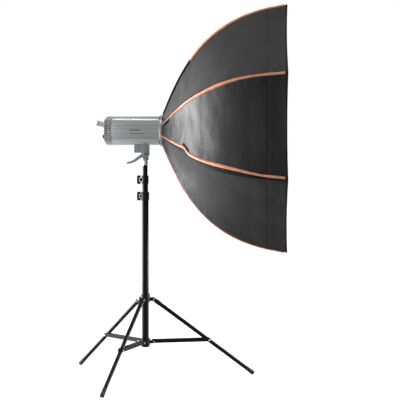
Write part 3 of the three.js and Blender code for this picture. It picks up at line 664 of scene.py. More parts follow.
def add_brace(number):
    """The folded strip and its hinge pin keep their CAD shape. A rivet joins it to the leg."""
    refine(f"brace_{number}", "matt_black", 0.5, 2)
    refine(f"brace_pin_{number}", "steel", 0.6, 3)
    for side, sign in SIDES.items():
        dome = [(radius, sign * (BRACE_FACE + out)) for radius, out in RIVET_DOME]
        rivet = turned(f"brace_rivet_{number}_{side}", dome, "y", (BRACE_LENGTH, 0, 0), "steel",
                       sides=28)
        laid_along(rivet, number, f"brace_pin_{number}", leg_outwards(number))
        settle(rivet, f"brace_{number}_assembly")


for leg_number in range(1, LEG_COUNT + 1):
    add_leg(leg_number)
    add_brace(leg_number)
refine("leg_hub", "black_plastic", 1.0, 3)
refine("brace_hub", "black_plastic", 1.0, 3)


# ---------------------------------------------------------------- head: stud, socket, bracket

def add_stud():
    """A collar with a grip groove, on a plug in the tube, and a spigot up into the socket."""
    low, high = box_mm("mounting_stud")
    seat = box_mm("top_tube")[1].z
    shoulder = box_mm("stand_socket")[0].z - SEAT_GAP
    collar = (high.y - low.y) / 2
    plug, spigot, groove = 10.8, 8, collar - 1.1
    stud = turned("stud_polished", [
        (CORE, low.z),
        (plug, low.z, 1),
        (plug, seat + SEAT_GAP),
        (collar, seat + SEAT_GAP, 0.8),
        (collar, seat + 7, 0.6),
        (groove, seat + 8, 0.5),
        (groove, seat + 10, 0.5),
        (collar, seat + 11, 0.6),
        (collar, shoulder - 5, 1.2),
        (spigot + 2, shoulder, 0.6),
        (spigot, shoulder + 0.2, 0.2),
        (spigot, high.z, 1),
        (CORE, high.z),
    ], "z", COLUMN, "chrome")
    settle(stud, "top_section", "mounting_stud")


def add_near_head(name, node, x, z, radius, height, chamfer, body, material, sides):
    """A bolt's head on the near face of a CAD node. Its chamfer is (across, deep)."""
    face = box_mm(node)[0].y
    across, deep = chamfer
    head = [
        (CORE, face - height),
        (radius - across, face - height),
        (radius, face - height + deep),
        (radius, face - 0.2),
        (CORE, face - 0.2),
    ]
    settle(turned(name, head, "y", (x, 0, z), material, sides=sides), body)


def add_bracket_bolts():
    """Two bolts through the bracket's casting, and the tilt lever's cap screw."""
    for name, x, z in (("cheek", 6, 1179), ("block", -42, 1178)):
        add_near_head(f"bracket_bolt_{name}", "head_bracket", COLUMN[0] + x, z, 4.6, 2.6,
                      (1.2, 1), "flash_head", "cast_grey", 28)
    pivot = middle("tilt_bolt") / MM
    add_near_head("lever_cap_screw", "tilt_lever", pivot.x, pivot.z, 6.6, 2.4, (1.4, 1.2), "lever",
                  "vent_dark", 32)


add_stud()
refine("stand_socket", "cast_grey", 1.0, 3)
refine("socket_lock_screw", "black_plastic", 0.8, 2)
refine("head_bracket", "cast_grey", 1.6, 3)
refine("tilt_bolt", "steel", 0.6, 2)
refine("tilt_lever", "cast_grey", 2.2, 4)
add_bracket_bolts()


# ---------------------------------------------------------------- head: flash housing

HOUSING_CORNER = 40
HOUSING_WALL = 2.5
# The heights of the long grooves above the housing's axis, and one groove's section: (height from
# its middle, depth).
GROOVE_HEIGHTS = (-17, 9, 24)
GROOVE_SECTION = ((-0.9, 0), (-0.3, 0.9), (0.3, 0.9), (0.9, 0))
# The housing's rolled end: (distance from its end, inset).
ROLLED_END = ((0, HOUSING_WALL), (0, 1), (0.3, 0.3), (1, 0))
# Plain bars where the maker's marking would be: (start, end, height, half the width).
MARKING_BARS = ((-73, -18, 1267, 2.6), (-74, 2, 1251, 1.3))
VENT_COLUMNS = ((9, 21), (25, 37))
VENT_SLOTS = 11
VENT_PITCH = 8.6
VENT_HALF = 1.6


def housing_section(x, inset):
    """The housing's rounded section at x, with the long grooves on both sides."""
    low, high = box_mm("body_shell")
    corner = HOUSING_CORNER - inset
    across = (high.y - low.y) / 2 - inset - corner
    up = (high.z - low.z) / 2 - inset - corner
    steps = 14
    right = []
    for start, centre, heights in ((-math.pi / 2, -up, GROOVE_HEIGHTS), (0, up, ())):
        for i in range(steps + 1):
            angle = start + math.pi / 2 * i / steps
            right.append((across + corner * math.cos(angle), centre + corner * math.sin(angle)))
        for height in heights:
            right += [(across + corner - depth, height + rise) for rise, depth in GROOVE_SECTION]
    left = [(-y, z) for y, z in reversed(right)]
    return [Vector((x, y, AXIS + z)) * MM for y, z in right + left]


def add_housing():
    low, high = box_mm("body_shell")
    stations = [(low.x + back, inset) for back, inset in ROLLED_END]
    stations += [(high.x - back, inset) for back, inset in reversed(ROLLED_END)]
    rows = [housing_section(x, inset) for x, inset in stations]
    housing = loft("flash_housing", rows, "silver_housing", wrap_rows=True, crease_angle=25)
    settle(housing, "flash_head", "body_shell")

    for side, sign in SIDES.items():
        face = sign * (high.y + 0.12)
        for row, (start, end, z, half) in enumerate(MARKING_BARS):
            bar = rectangle(COLUMN[0] + start, z - half, COLUMN[0] + end, z + half)
            marking = plate(f"marking_bar_{row + 1}_{side}", rounded(bar, half * 0.9), face - 0.1,
                            face + 0.1, "marking_ink", 0.05, 1)
            settle(marking, "flash_head")


def vent_cutter(low, high):
    """The slots of both vent columns as one object, right through the cover from side to side."""
    points, faces = [], []
    for start, end in VENT_COLUMNS:
        for i in range(VENT_SLOTS):
            z = AXIS + (i - (VENT_SLOTS - 1) / 2) * VENT_PITCH
            slot = rectangle(low.x + start, z - VENT_HALF, low.x + end, z + VENT_HALF)
            slot_points, slot_faces = prism(rounded(slot, 1.5, 3), low.y - 5, high.y + 5)
            faces += [tuple(len(points) + index for index in face) for face in slot_faces]
            points += slot_points
    cutter = mesh_object("vent_cutter", points, faces, "vent_dark")
    cutter.hide_render = True
    cutter.hide_viewport = True
    return cutter


def add_rear_cover():
    """The rear cover keeps its CAD shape, with vents cut through both its sides and a dark mesh
    behind them as a dust screen."""
    cover = refine("rear_cover", "cover_grey", 2.4, 4)
    low, high = box_mm("rear_cover")
    vents = cover.modifiers.new("vents", "BOOLEAN")
    vents.operation = "DIFFERENCE"
    vents.solver = "EXACT"
    vents.object = vent_cutter(low, high)
    outline = rounded(rectangle(low.x + 7, AXIS - 50, high.x - 4, AXIS + 50), 3)
    for side, sign in SIDES.items():
        y = sign * ((high.y - low.y) / 2 - 4.2)
        screen = plate(f"vent_screen_{side}", outline, y - 0.5, y + 0.5, "vent_dark", 0.3, 1)
        settle(screen, "flash_head")


def add_dial():
    low, high = box_mm("power_dial")
    centre = (low + high) / 2
    radius = (high.y - low.y) / 2
    shaft = 3
    dial = turned("power_dial_knurled", [
        (CORE, low.x + 0.5),
        (radius * 0.6, low.x + 0.5, 0.4),
        (radius * 0.66, low.x, 0.3),
        (radius - 1.2, low.x, 0.8),
        (radius, low.x + 2.5, 0.6),
        (radius, low.x + 9.6, 0.5),
        (shaft, low.x + 10),
        (shaft, high.x, 0.4),
        (CORE, high.x),
    ], "x", (0, centre.y, centre.z), "black_plastic", sides=120, wave=(30, 0.3, radius * 0.98))
    settle(dial, "dial", "power_dial")
    line = rounded(rectangle(low.x - 0.25, centre.z + 2.4, low.x + 0.4, centre.z + 7), 0.1, 2)
    pointer = plate("power_dial_pointer", line, centre.y - 0.6, centre.y + 0.6, "white_thread", 0.1,
                    1)
    settle(pointer, "dial")


def add_front_ring():
    """A dished ring with one groove round it and a hole for the tube and the lamp."""
    low, high = box_mm("front_ring")
    outer = (high.y - low.y) / 2
    inner, hole, groove = 50, 24.5, outer - 1.2
    ring = turned("front_ring_turned", [
        (hole, low.x, 0.5),
        (outer - 4, low.x, 1),
        (outer, low.x + 2.5, 1.4),
        (outer, low.x + 6, 0.5),
        (groove, low.x + 7, 0.4),
        (groove, low.x + 8.4, 0.4),
        (outer, low.x + 9.4, 0.5),
        (outer, high.x - 1.5, 1.2),
        (outer - 2, high.x, 0.8),
        (inner, high.x, 0.8),
        (inner, low.x + 3, 0.5),
        (hole, low.x + 3, 0.5),
    ], "x", (0, 0, AXIS), "ring_grey", sides=120, closed=True)
    settle(ring, "flash_head", "front_ring")


add_housing()
add_rear_cover()
add_dial()
add_front_ring()
for refined in (
    ("carry_handle", "handle_grey", 4.0, 5),
    ("test_button", "black_plastic", 0.8, 3),
    ("power_switch", "black_plastic", 0.7, 2),
    ("mains_inlet", "black_plastic", 0.5, 2),
    ("lamp_socket", "ceramic", 1.0, 2),
    ("modelling_lamp", "clear_glass", 1.0, 3),
    ("flash_tube", "clear_glass", 0.4, 2, 50),
    ("flash_capacitor", "capacitor_sleeve", 0.8, 2),
    ("circuit_board", "circuit_green", 0.2, 1),
    ("cooling_fan", "black_plastic", 0.3, 1),
):
    refine(*refined)


# ---------------------------------------------------------------- softbox: the fabric's surface

# The fabric's points are arrays in metres. Its tables and constants are in millimetres, as above.
PANELS = 8
HALF_PANEL = math.pi / PANELS
# A seam as (x from the column, distance from the axis): a curve from the neck to the lip, pulled
# towards two points on the way, and a straight lip out to the rim.
SEAM_CURVE = ((94, 81), (195, 330), (310, 567), (635, 635))
RIM = (719, 652)
PROFILE_SAMPLES = 400


def seam_profile():
    """Points down a seam as (x from the column, distance from the axis), neck to rim."""
    neck, first_pull, second_pull, lip = np.array(SEAM_CURVE)
    t = np.linspace(0, 1, PROFILE_SAMPLES + 1)[:, None]
    curve = (
        (1 - t) ** 3 * neck + 3 * (1 - t) ** 2 * t * first_pull
        + 3 * (1 - t) * t ** 2 * second_pull + t ** 3 * lip
    )
    return np.vstack([curve, RIM]) * MM


PROFILE = seam_profile()
STEPS = np.linalg.norm(np.diff(PROFILE, axis=0), axis=1)
ALONG = np.concatenate([[0], np.cumsum(STEPS)])
PROFILE_LENGTH = float(ALONG[-1])


def at_length(s):
    """(x, corner radius) at a distance along the seam from the neck."""
    return np.interp(s, ALONG, PROFILE[:, 0]), np.interp(s, ALONG, PROFILE[:, 1])


def chord_at(s):
    """The distance straight across a panel, from seam to seam."""
    return 2 * at_length(s)[1] * math.sin(HALF_PANEL)


def length_at_x(x):
    """The distance along the seam at an x from the column in millimetres."""
    return float(np.interp(x * MM, PROFILE[:, 0], ALONG))


def smooth(share):
    return share * share * (3 - 2 * share)


def bump_between(s, start, end, edge_in, edge_out):
    """Rises from 0 to 1 after start and falls back before end."""
    up = np.clip((s - start) / edge_in, 0, 1)
    down = np.clip((end - s) / edge_out, 0, 1)
    return smooth(np.minimum(up, down))


DIFFUSER_LINE = length_at_x(628)
# Near the neck each side seam is left open where its rod is threaded in: the panel nearer the
# middle stands away from the tape. Each opening is (width, start, end as x from the column).
UPPER_OPENING = (15.0, 104, 150)
LOWER_OPENING = (19.0, 200, 268)
OPENING_FADES = 75
# How far the side tapes lie on the panel nearer the middle: (x from the column, distance).
LOWER_LEANS = (
    (100, 4), (150, 20), (200, 34), (218, 37), (245, 22), (290, 22), (400, 27), (480, 26),
    (540, 21), (600, 16), (719, 13),
)
UPPER_LEANS = (
    (94, 2), (115, 9), (190, 13), (230, 13), (320, 11), (400, 6), (480, 1), (540, 0), (719, 2),
)
# The top tapes start a little wider and painted black near the neck, as painted shade of the fold
# there. The painted shade ends and they turn orange at this x from the column.
TOP_TAPE_SHADE_END = 240
TOP_START_WIDENS = 4
# Seam k lies at 22.5 + 45 k degrees round the axis from the top, towards -Y.
NEAR_UPPER, NEAR_LOWER, FAR_LOWER, FAR_UPPER = 1, 2, 5, 6
TOP_SEAMS = (0, 7)
# The bottom tapes lie partly under the bottom panel, on this side of their seams.
BOTTOM_SEAMS = {3: 1, 4: -1}
# Each side seam's middle panel lies towards this side of it, beyond this seam.
SIDE_SEAMS = {
    NEAR_UPPER: (1, NEAR_LOWER, UPPER_LEANS, UPPER_OPENING),
    NEAR_LOWER: (-1, NEAR_UPPER, LOWER_LEANS, LOWER_OPENING),
    FAR_LOWER: (1, FAR_UPPER, LOWER_LEANS, LOWER_OPENING),
    FAR_UPPER: (-1, FAR_LOWER, UPPER_LEANS, UPPER_OPENING),
}


def direction(turn):
    """Outwards from the axis, at a number of panels round from the top."""
    angle = math.tau * turn / PANELS
    return np.array([0, -math.sin(angle), math.cos(angle)])


def corner_direction(seam):
    return direction(seam + 0.5)


# A tape's half width by share of the way from the neck to the rim.
TAPE_WIDTHS = (
    (0, 3.2), (0.1, 3.6), (0.16, 5.2), (0.35, 7.2), (0.62, 8.6), (0.86, 5.4), (0.93, 6.4), (1, 6.0),
)


def tape_half_width(s):
    return np.interp(s / PROFILE_LENGTH, *zip(*TAPE_WIDTHS)) * MM


def tape_offset(seam, s):
    """How far a tape's middle lies from its seam, positive on the panel after the seam."""
    if seam in BOTTOM_SEAMS:
        return BOTTOM_SEAMS[seam] * 0.85 * tape_half_width(s)
    if seam not in SIDE_SEAMS:
        return np.zeros(len(s))
    side, _, leans, _ = SIDE_SEAMS[seam]
    stations = [length_at_x(x) for x, _ in leans]
    distances = [distance * MM for _, distance in leans]
    spread = (-0.012, -0.006, 0, 0.006, 0.012)
    return side * sum(np.interp(s + step, stations, distances) for step in spread) / len(spread)


def opening_reach(seam, other, s):
    """How far a panel's edge stands back from its seam. other is the panel's other seam."""
    if seam not in SIDE_SEAMS or SIDE_SEAMS[seam][1] != other:
        return np.zeros(len(s))
    size, start, end = SIDE_SEAMS[seam][3]
    gap = bump_between(s, length_at_x(start), length_at_x(end), 0.014, 0.05)
    return (np.abs(tape_offset(seam, s)) + size * MM) * gap


def with_openings(panel, s, v):
    """Shares across a panel, drawn back from its openings."""
    first, second = (panel - 1) % PANELS, panel % PANELS
    chord = chord_at(s)
    near_first = np.exp(-(v * chord / (OPENING_FADES * MM)) ** 2)
    near_second = np.exp(-((1 - v) * chord / (OPENING_FADES * MM)) ** 2)
    drawn = opening_reach(first, second, s) * near_first
    return v + (drawn - opening_reach(second, first, s) * near_second) / chord


# How the fabric hangs between its seams: the hollow of a panel, the groove where the diffuser is
# sewn in, the puckers beside a seam, and how far in from a seam these start.
SAG = 12
RIM_BOW = 4.5
GROOVE_DEPTH, GROOVE_WIDTH = 1.8, 5
PUCKER, PUCKER_REACH, PUCKER_WAVE = 0.6, 38, 9.5
EDGE_FADE = 14
# Uneven cloth: (height, size, seed) of each noise.
UNEVEN = ((2.4, 120, 1), (0.5, 35, 2))
FOLDS_PER_PANEL = 7

# Folds that the photograph shows, by panel: (s along the seam, share across, direction in degrees
# from along the seam, width, reach and height).
SEEN_FOLDS = {
    1: (
        (255, 0.50, 86, 30, 130, 1.8), (205, 0.40, 86, 26, 90, -1.2),
        (330, 0.72, 74, 30, 100, -1.0),
    ),
    2: (
        (352, 0.34, 78, 20, 75, -1.7), (402, 0.30, 76, 22, 80, 1.0), (305, 0.40, 82, 24, 90, 0.9),
        (262, 0.80, 96, 18, 55, -2.2), (440, 0.62, 84, 28, 120, -1.0),
    ),
    3: (
        (240, 0.40, 72, 26, 90, -1.2), (190, 0.30, 68, 26, 80, 1.0), (330, 0.45, 78, 30, 110, -1.4),
    ),
}


def panel_folds():
    """Soft tension folds for each panel: those that can be seen, and more like them elsewhere."""
    draw = random.Random(11)
    folds = []
    for panel in range(PANELS):
        seen = SEEN_FOLDS.get(panel, ())
        others = [
            (
                draw.uniform(0.12, 0.6) * PROFILE_LENGTH / MM,
                draw.uniform(0.2, 0.8),
                draw.uniform(60, 120),
                draw.uniform(22, 36),
                draw.uniform(70, 150),
                draw.choice((-1, 1)) * draw.uniform(0.5, 1.3),
            )
            for _ in range(FOLDS_PER_PANEL - len(seen))
        ]
        folds.append([*seen, *others])
    return folds


FOLDS = panel_folds()


def soft_noise(points, size, seed):
    shifted = Vector((seed * 3.1, seed * 1.7, seed * 2.3))
    return np.array([noise.noise(Vector(p) / size + shifted) for p in points])


def panel_normal(panel, s):
    """The outward normal of a panel, if it were stretched flat."""
    step = 0.5 * MM
    x1, radius1 = at_length(np.clip(s - step, 0, PROFILE_LENGTH))
    x2, radius2 = at_length(np.clip(s + step, 0, PROFILE_LENGTH))
    dx, dr = x2 - x1, (radius2 - radius1) * math.cos(HALF_PANEL)
    size = np.hypot(dx, dr)
    normal = (dx / size)[:, None] * direction(panel)
    normal[:, 0] -= dr / size
    return normal


def fold_height(panel, s, v, chord):
    height = np.zeros(len(s))
    for place, share, angle, width, reach, rise in FOLDS[panel % PANELS]:
        down = s - place * MM
        over = (v - share) * chord
        c, n = math.cos(math.radians(angle)), math.sin(math.radians(angle))
        along = (down * c + over * n) / (reach * MM)
        across = (over * c - down * n) / (width * MM)
        height += rise * np.exp(-across ** 2 - along ** 2)
    return height


def surface(panel, s, v, open_seams=True):
    """Points and outward normals of one panel, for arrays of distance s along the seam and share
    v across the panel. Panel k lies between seams k - 1 and k."""
    if open_seams:
        v = with_openings(panel, s, v)
    x, radius = at_length(s)
    axis = np.stack([x + COLUMN_X, np.zeros_like(x), np.full_like(x, AXIS_Z)], axis=1)
    a = axis + radius[:, None] * corner_direction(panel - 1)
    b = axis + radius[:, None] * corner_direction(panel)
    points = a + (b - a) * v[:, None]
    normal = panel_normal(panel, s)
    chord = chord_at(s)

    # Heights above the flat panel, in millimetres.
    arch = 4 * v * (1 - v)
    share = s / PROFILE_LENGTH
    near_seam = np.minimum(v, 1 - v) * chord / MM
    fade = smooth(np.clip(near_seam / EDGE_FADE, 0, 1))
    height = -SAG * arch * np.clip(share / 0.25, 0, 1) * np.clip((1 - share) / 0.2, 0, 1)
    height -= GROOVE_DEPTH * np.exp(-((s - DIFFUSER_LINE) / (GROOVE_WIDTH * MM)) ** 2) * fade
    lip = np.clip((s - DIFFUSER_LINE) / (PROFILE_LENGTH - DIFFUSER_LINE), 0, 1)
    height -= 0.35 * SAG * arch * lip * (1 - lip) * 2
    height += fold_height(panel, s, v, chord) * fade
    wander = soft_noise(np.stack([s, v * 0, v * 0], axis=1), 0.05, panel + 1)
    waves = np.sin(s / (PUCKER_WAVE * MM) + 2.5 * wander + panel)
    height += PUCKER * np.exp(-(near_seam / PUCKER_REACH) ** 2) * fade * waves
    for rise, size, seed in UNEVEN:
        height += rise * soft_noise(points, size * MM, seed) * fade
    points = points + height[:, None] * MM * normal
    bow = np.clip((s - PROFILE_LENGTH + 0.05) / 0.05, 0, 1) ** 2
    points[:, 0] -= RIM_BOW * MM * arch * bow
    return points, normal


def across_shares(count):
    """Shares across a panel, closer together beside the seams."""
    even = np.linspace(0, 1, count + 1)
    eased = 0.5 - 0.5 * np.cos(math.pi * even)
    return 0.5 * even + 0.5 * eased


def weld_normals(v, normal, edge=0.06):
    """Turns a panel's normals towards its neighbours' at its two seams, so strips stay joined.
    Turning forwards is towards the next panel, which is clockwise seen from +X."""
    lean = (np.clip(1 - (1 - v) / edge, 0, 1) - np.clip(1 - v / edge, 0, 1)) * HALF_PANEL
    c, n = np.cos(lean), np.sin(lean)
    x, y, z = normal.T
    return np.stack([x, c * y - n * z, n * y + c * z], axis=1)


# ---------------------------------------------------------------- softbox: fabric and tapes

FABRIC_ROWS = 150
FABRIC_COLUMNS = 34
TAPE_END = 13
# Where the tapes end, as distance along the seam.
TAPES_END_AT = PROFILE_LENGTH - TAPE_END * MM


def thickened(obj, thickness, offset):
    """Gives a cloth its thickness in millimetres. An offset of -1 puts it all inside."""
    solidify = obj.modifiers.new("cloth", "SOLIDIFY")
    solidify.thickness = thickness * MM
    solidify.offset = offset
    return solidify


def add_fabric():
    s_values = np.linspace(0, PROFILE_LENGTH, FABRIC_ROWS + 1)
    v_values = across_shares(FABRIC_COLUMNS)
    s, v = np.repeat(s_values, len(v_values)), np.tile(v_values, len(s_values))
    points, faces = [], []
    for panel in range(PANELS):
        start = len(points)
        points += list(surface(panel, s, v)[0])
        faces += [tuple(start + i for i in f) for f in grid_faces(len(s_values), len(v_values))]
    fabric = mesh_object("softbox_fabric", points, faces, "black_cloth", "silver_lining",
                         "black_tape", crease_angle=70)
    solidify = thickened(fabric, 0.8, -1)
    solidify.material_offset = 1
    solidify.material_offset_rim = 2
    settle(fabric, "softbox", "softbox_shell")


def strip_points(seam, s, distance, lift):
    """Points at distances in metres from a closed seam, raised from the fabric by lift in
    millimetres. A negative distance lies on the panel before the seam, and a positive one on the
    panel after. No point lies past the middle of its panel."""
    share = np.minimum(np.abs(distance) / chord_at(s), 0.42)
    before, before_normal = surface(seam, s, 1 - share, open_seams=False)
    after, after_normal = surface(seam + 1, s, share, open_seams=False)
    is_before = (np.broadcast_to(distance, s.shape) < 0)[:, None]
    normal = np.where(is_before, before_normal, after_normal)
    raised = np.broadcast_to(lift, s.shape)[:, None] * MM * normal
    return np.where(is_before, before, after) + raised


def strip(name, seam, s, section, *materials):
    """A strip along a seam. Its section is (distance, lift), for strip_points."""
    columns = [strip_points(seam, s, distance, lift) for distance, lift in section]
    return loft(name, np.stack(columns, axis=1), *materials, crease_angle=60)


# Across a tape: (share of its half width, height above the fabric). It stands up round the seam.
TAPE_SECTION = (
    (-1.0, 0.2), (-0.97, 1.0), (-0.8, 2.3), (-0.6, 3.5), (-0.35, 4.7), (-0.12, 5.2),
    (0.12, 5.2), (0.35, 4.7), (0.6, 3.5), (0.8, 2.3), (0.97, 1.0), (1.0, 0.2),
    (0.3, 0.2), (-0.3, 0.2),
)


def add_tape(seam):
    """Folded tape over one seam, with a crest where it wraps the seam allowance."""
    s = np.linspace(6 * MM, TAPES_END_AT, 220)
    half = tape_half_width(s)
    turn = length_at_x(TOP_TAPE_SHADE_END)
    if seam in TOP_SEAMS:
        half = half + TOP_START_WIDENS * MM * bump_between(s, 0, turn, 0.05, 0.03)
    kink = bump_between(s, DIFFUSER_LINE - 0.02, DIFFUSER_LINE + 0.03, 0.02, 0.03)
    offset = tape_offset(seam, s)
    section = [(share * half + offset, height + 0.8 * kink) for share, height in TAPE_SECTION]
    tape = strip(f"seam_tape_{seam + 1}", seam, s, section, "orange_webbing", "pocket_black")
    # Near the neck the top tapes take the matt near-black finish: painted shade.
    if seam in TOP_SEAMS:
        for face in tape.data.polygons:
            face.material_index = int(face.center.x < COLUMN_X + TOP_TAPE_SHADE_END * MM)
    settle(tape, "softbox")


# A stitch's length, width and height, and the distance between two of them.
STITCH = (3.6, 0.9, 0.5)
STITCH_PITCH = 5.5
# The height of a tape's face where the stitches go.
STITCH_LIFT = 2.3


def stitch(points, centre, along, normal):
    """One stitch: a low rounded bead with eight corners and two tips."""
    length, width, height = (size * MM for size in STITCH)
    side = np.cross(along, normal)
    a = len(points)
    for end in (-0.28, 0.28):
        for across, up in ((-0.5, 0), (-0.3, 0.8), (0.3, 0.8), (0.5, 0)):
            corner = along * length * end + side * width * across + normal * height * up
            points.append(centre + corner)
    points += [centre - along * length * 0.5, centre + along * length * 0.5]
    faces = [(a + i, a + 4 + i, a + 5 + i, a + 1 + i) for i in range(3)]
    faces.append((a + 3, a + 7, a + 4, a))
    faces += [(a + 8, a + i, a + i + 1) for i in range(3)] + [(a + 8, a + 3, a)]
    faces += [(a + 9, a + 5 + i, a + 4 + i) for i in range(3)] + [(a + 9, a + 4, a + 7)]
    return faces


def add_stitches():
    """A row of stitches down each side of every seam tape."""
    points, faces = [], []
    s = np.arange(12 * MM, TAPES_END_AT - 4 * MM, STITCH_PITCH * MM)
    for seam in range(PANELS):
        for side in (-1, 1):
            place = side * 0.82 * tape_half_width(s) + tape_offset(seam, s)
            spots = strip_points(seam, s, place, STITCH_LIFT)
            ahead = strip_points(seam, s + 1 * MM, place, STITCH_LIFT)
            above = strip_points(seam, s, place, STITCH_LIFT + 1)
            for here, next_spot, up in zip(spots, ahead, above):
                along = (next_spot - here) / np.linalg.norm(next_spot - here)
                normal = (up - here) / np.linalg.norm(up - here)
                faces += stitch(points, here, along, normal)
    settle(mesh_object("seam_stitches", points, faces, "orange_thread"), "softbox")


def add_band(name, section, count, material, crease_angle):
    """A closed band round all the panels. Its section is (distance along the seam, height above
    the fabric's outer face), and may go on past the rim."""
    v = across_shares(count)[:-1]
    loops = []
    for length, height in section:
        loop = []
        for panel in range(PANELS):
            spots, normal = surface(panel, np.full(len(v), min(length, PROFILE_LENGTH)), v)
            spots = spots + weld_normals(v, normal) * height * MM
            spots[:, 0] += max(0, length - PROFILE_LENGTH)
            loop += list(spots)
        loops.append(loop)
    band = loft(name, zip(*loops), material, wrap_rows=True, crease_angle=crease_angle)
    settle(band, "softbox")


# Sections in millimetres. Black tape folded over the rim: (distance back from the edge, height
# above the fabric's outer face).
BINDING_SECTION = (
    (8.6, 0.15), (8.6, 0.9), (6.0, 1.2), (1.5, 1.25), (-0.8, 0.9), (-1.5, -0.1),
    (-1.5, -1.2), (-0.8, -2.0), (1.5, -2.3), (6.0, -2.2), (8.6, -1.9), (8.6, -1.1),
    (4.0, -0.95), (0.4, -0.8), (0.4, -0.1), (4.0, 0.1),
)
# Hook tape round the inside of the lip: (distance in front of the diffuser's line, height).
GRIP_SECTION = ((6, -1.2), (30, -1.2), (31, -1.9), (30, -2.6), (6, -2.6), (5, -1.9))
# A rod pocket, between the fabric and the rod: (distance from the seam, depth below the fabric).
POCKET_SECTION = (
    (-66, 2.4), (-30, 2.4), (-4, 2.6), (4, 2.6), (30, 2.4), (66, 2.4),
    (66, 3.1), (30, 3.1), (4, 3.3), (-4, 3.3), (-30, 3.1), (-66, 3.1),
)
# Across a seam's fold: (share of the way from the seam to the tape, height).
FOLD_SECTION = (
    (-0.12, 0.1), (-0.1, 0.8), (0.0, 1.1), (0.35, 1.0), (0.7, 1.0), (1.0, 1.0),
    (1.0, -0.1), (0.7, -0.1), (0.35, -0.1), (0.0, -0.1),
)


def add_rod_pocket(seam):
    """A pocket under the seam, between the fabric and the rod, seen through the openings. Its matt
    near-black stands in for the shade inside them.
    """
    s = np.linspace(8 * MM, length_at_x(300), 60)
    section = [(distance * MM, -depth) for distance, depth in POCKET_SECTION]
    settle(strip(f"rod_pocket_{seam + 1}", seam, s, section, "pocket_black"), "softbox")


def add_seam_fold(seam, end):
    """The outer panel's bound edge, carried round the seam to the leaning tape."""
    s = np.linspace(8 * MM, end, 160)
    section = [(share * tape_offset(seam, s), height) for share, height in FOLD_SECTION]
    settle(strip(f"seam_fold_{seam + 1}", seam, s, section, "black_tape"), "softbox")


add_fabric()
for lower_seam in (NEAR_LOWER, FAR_LOWER):
    add_seam_fold(lower_seam, TAPES_END_AT)
for upper_seam in (NEAR_UPPER, FAR_UPPER):
    add_seam_fold(upper_seam, length_at_x(360))
for seam_number in range(PANELS):
    add_tape(seam_number)
for seam_number in SIDE_SEAMS:
    add_rod_pocket(seam_number)
add_stitches()
add_band("rim_binding", [(PROFILE_LENGTH - back * MM, height) for back, height in BINDING_SECTION],
         36, "black_tape", 60)


# ---------------------------------------------------------------- softbox: diffusers, ring, rods

CLOTH_RINGS = 46
CLOTH_COLUMNS = 26
CLOTH_SAG = 5
# How far a cloth's straight edge bows in, as a share of its radius.
EDGE_BOW = 0.012
CREASE = 1.6


def round_octagon():
    """Points round an octagon of radius 1, as (share of the way along its side, bow, point)."""
    for panel in range(PANELS):
        a, b = corner_direction(panel - 1), corner_direction(panel)
        for i in range(CLOTH_COLUMNS):
            t = i / CLOTH_COLUMNS
            yield t, EDGE_BOW * 4 * t * (1 - t), a + (b - a) * t


def octagon_cloth(name, x, corner_radius):
    """A stretched octagonal cloth: flat at its hem, hollow in the middle, with corner creases."""
    points = [(x - CLOTH_SAG * MM, 0, AXIS_Z)]
    for ring in range(1, CLOTH_RINGS + 1):
        share = ring / CLOTH_RINGS
        for t, bow, edge in round_octagon():
            spot = edge * corner_radius * share
            crease = math.cos(math.tau * t) * share ** 3 * CREASE
            ripple = noise.noise(Vector(spot) * 14) * 2.2 * (1 - share ** 6)
            depth = CLOTH_SAG * (1 - share ** 2) + crease * 0.5 - ripple
            bowed = spot * (1 - bow * share)
            points.append((x - depth * MM, bowed[1], AXIS_Z + bowed[2]))
    count = PANELS * CLOTH_COLUMNS
    faces = [(0, 1 + i, 1 + (i + 1) % count) for i in range(count)]
    faces += [tuple(i + 1 for i in face) for face in grid_faces(CLOTH_RINGS, count, False, True)]
    cloth = mesh_object(name, points, faces, "white_nylon", crease_angle=70)
    thickened(cloth, 0.4, 0)
    return cloth


def hem_band(name, x, corner_radius, width, thickness, material):
    """A flat band sewn round the edge of an octagonal cloth."""
    outline = rectangle(0, -thickness / 2, width, thickness / 2)
    section = rounded(outline, thickness * 0.4, 3)
    rows = []
    for t, bow, edge in round_octagon():
        crease = math.cos(math.tau * t) * CREASE / 2
        y, z = edge[1] * (1 - bow), edge[2] * (1 - bow)
        rows.append([
            (x + (across - crease) * MM, y * (corner_radius - back * MM),
             AXIS_Z + z * (corner_radius - back * MM))
            for back, across in section
        ])
    return settle(loft(name, rows, material, wrap_rows=True, crease_angle=60), "softbox")


def add_diffuser(node, inset, hem_out, *hem_look):
    """A diffuser's cloth inside its CAD node's corners by the inset, and its hem outside that."""
    low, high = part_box(node)
    x = (low.x + high.x) / 2
    radius = (high.y - low.y) / 2 / math.cos(HALF_PANEL) - inset * MM
    cloth = settle(octagon_cloth(f"{node}_cloth", x, radius), "softbox", node)
    hem = hem_band(f"{node}_hem", x, radius + hem_out * MM, *hem_look)


add_diffuser("front_diffuser", 4, 1, 24, 1.9, "white_nylon")
add_diffuser("inner_diffuser", 2, 0.5, 14, 1.7, "black_tape")
add_band("grip_band", [(DIFFUSER_LINE + ahead * MM, height) for ahead, height in GRIP_SECTION],
         30, "hook_tape", 40)
refine("speed_ring", "ring_grey", 0.8, 2, 25)
for rod_number in range(1, PANELS + 1):
    refine(f"rod_{rod_number}", "steel", 0.3, 1, 80)


# ---------------------------------------------------------------- floor and light

FLOOR_SIZE = 30.0
PALE = (0.45, 0.45, 0.45)
# The camera sees the floor lifted to white, while what it lights and reflects stays plain.
FLOOR_LIFT = 0.85
# The surroundings' brightness by direction: a white backdrop behind and beside the object, a dark
# room in front of it, and a dim ceiling. Each is (from, to, low level, high level).
BACKDROP = 1.0
ROOM = 0.46
CEILING = 0.4
SURROUNDINGS = {"Y": (-0.7, 0.6, ROOM, BACKDROP), "Z": (0.35, 0.85, 1.0, CEILING)}


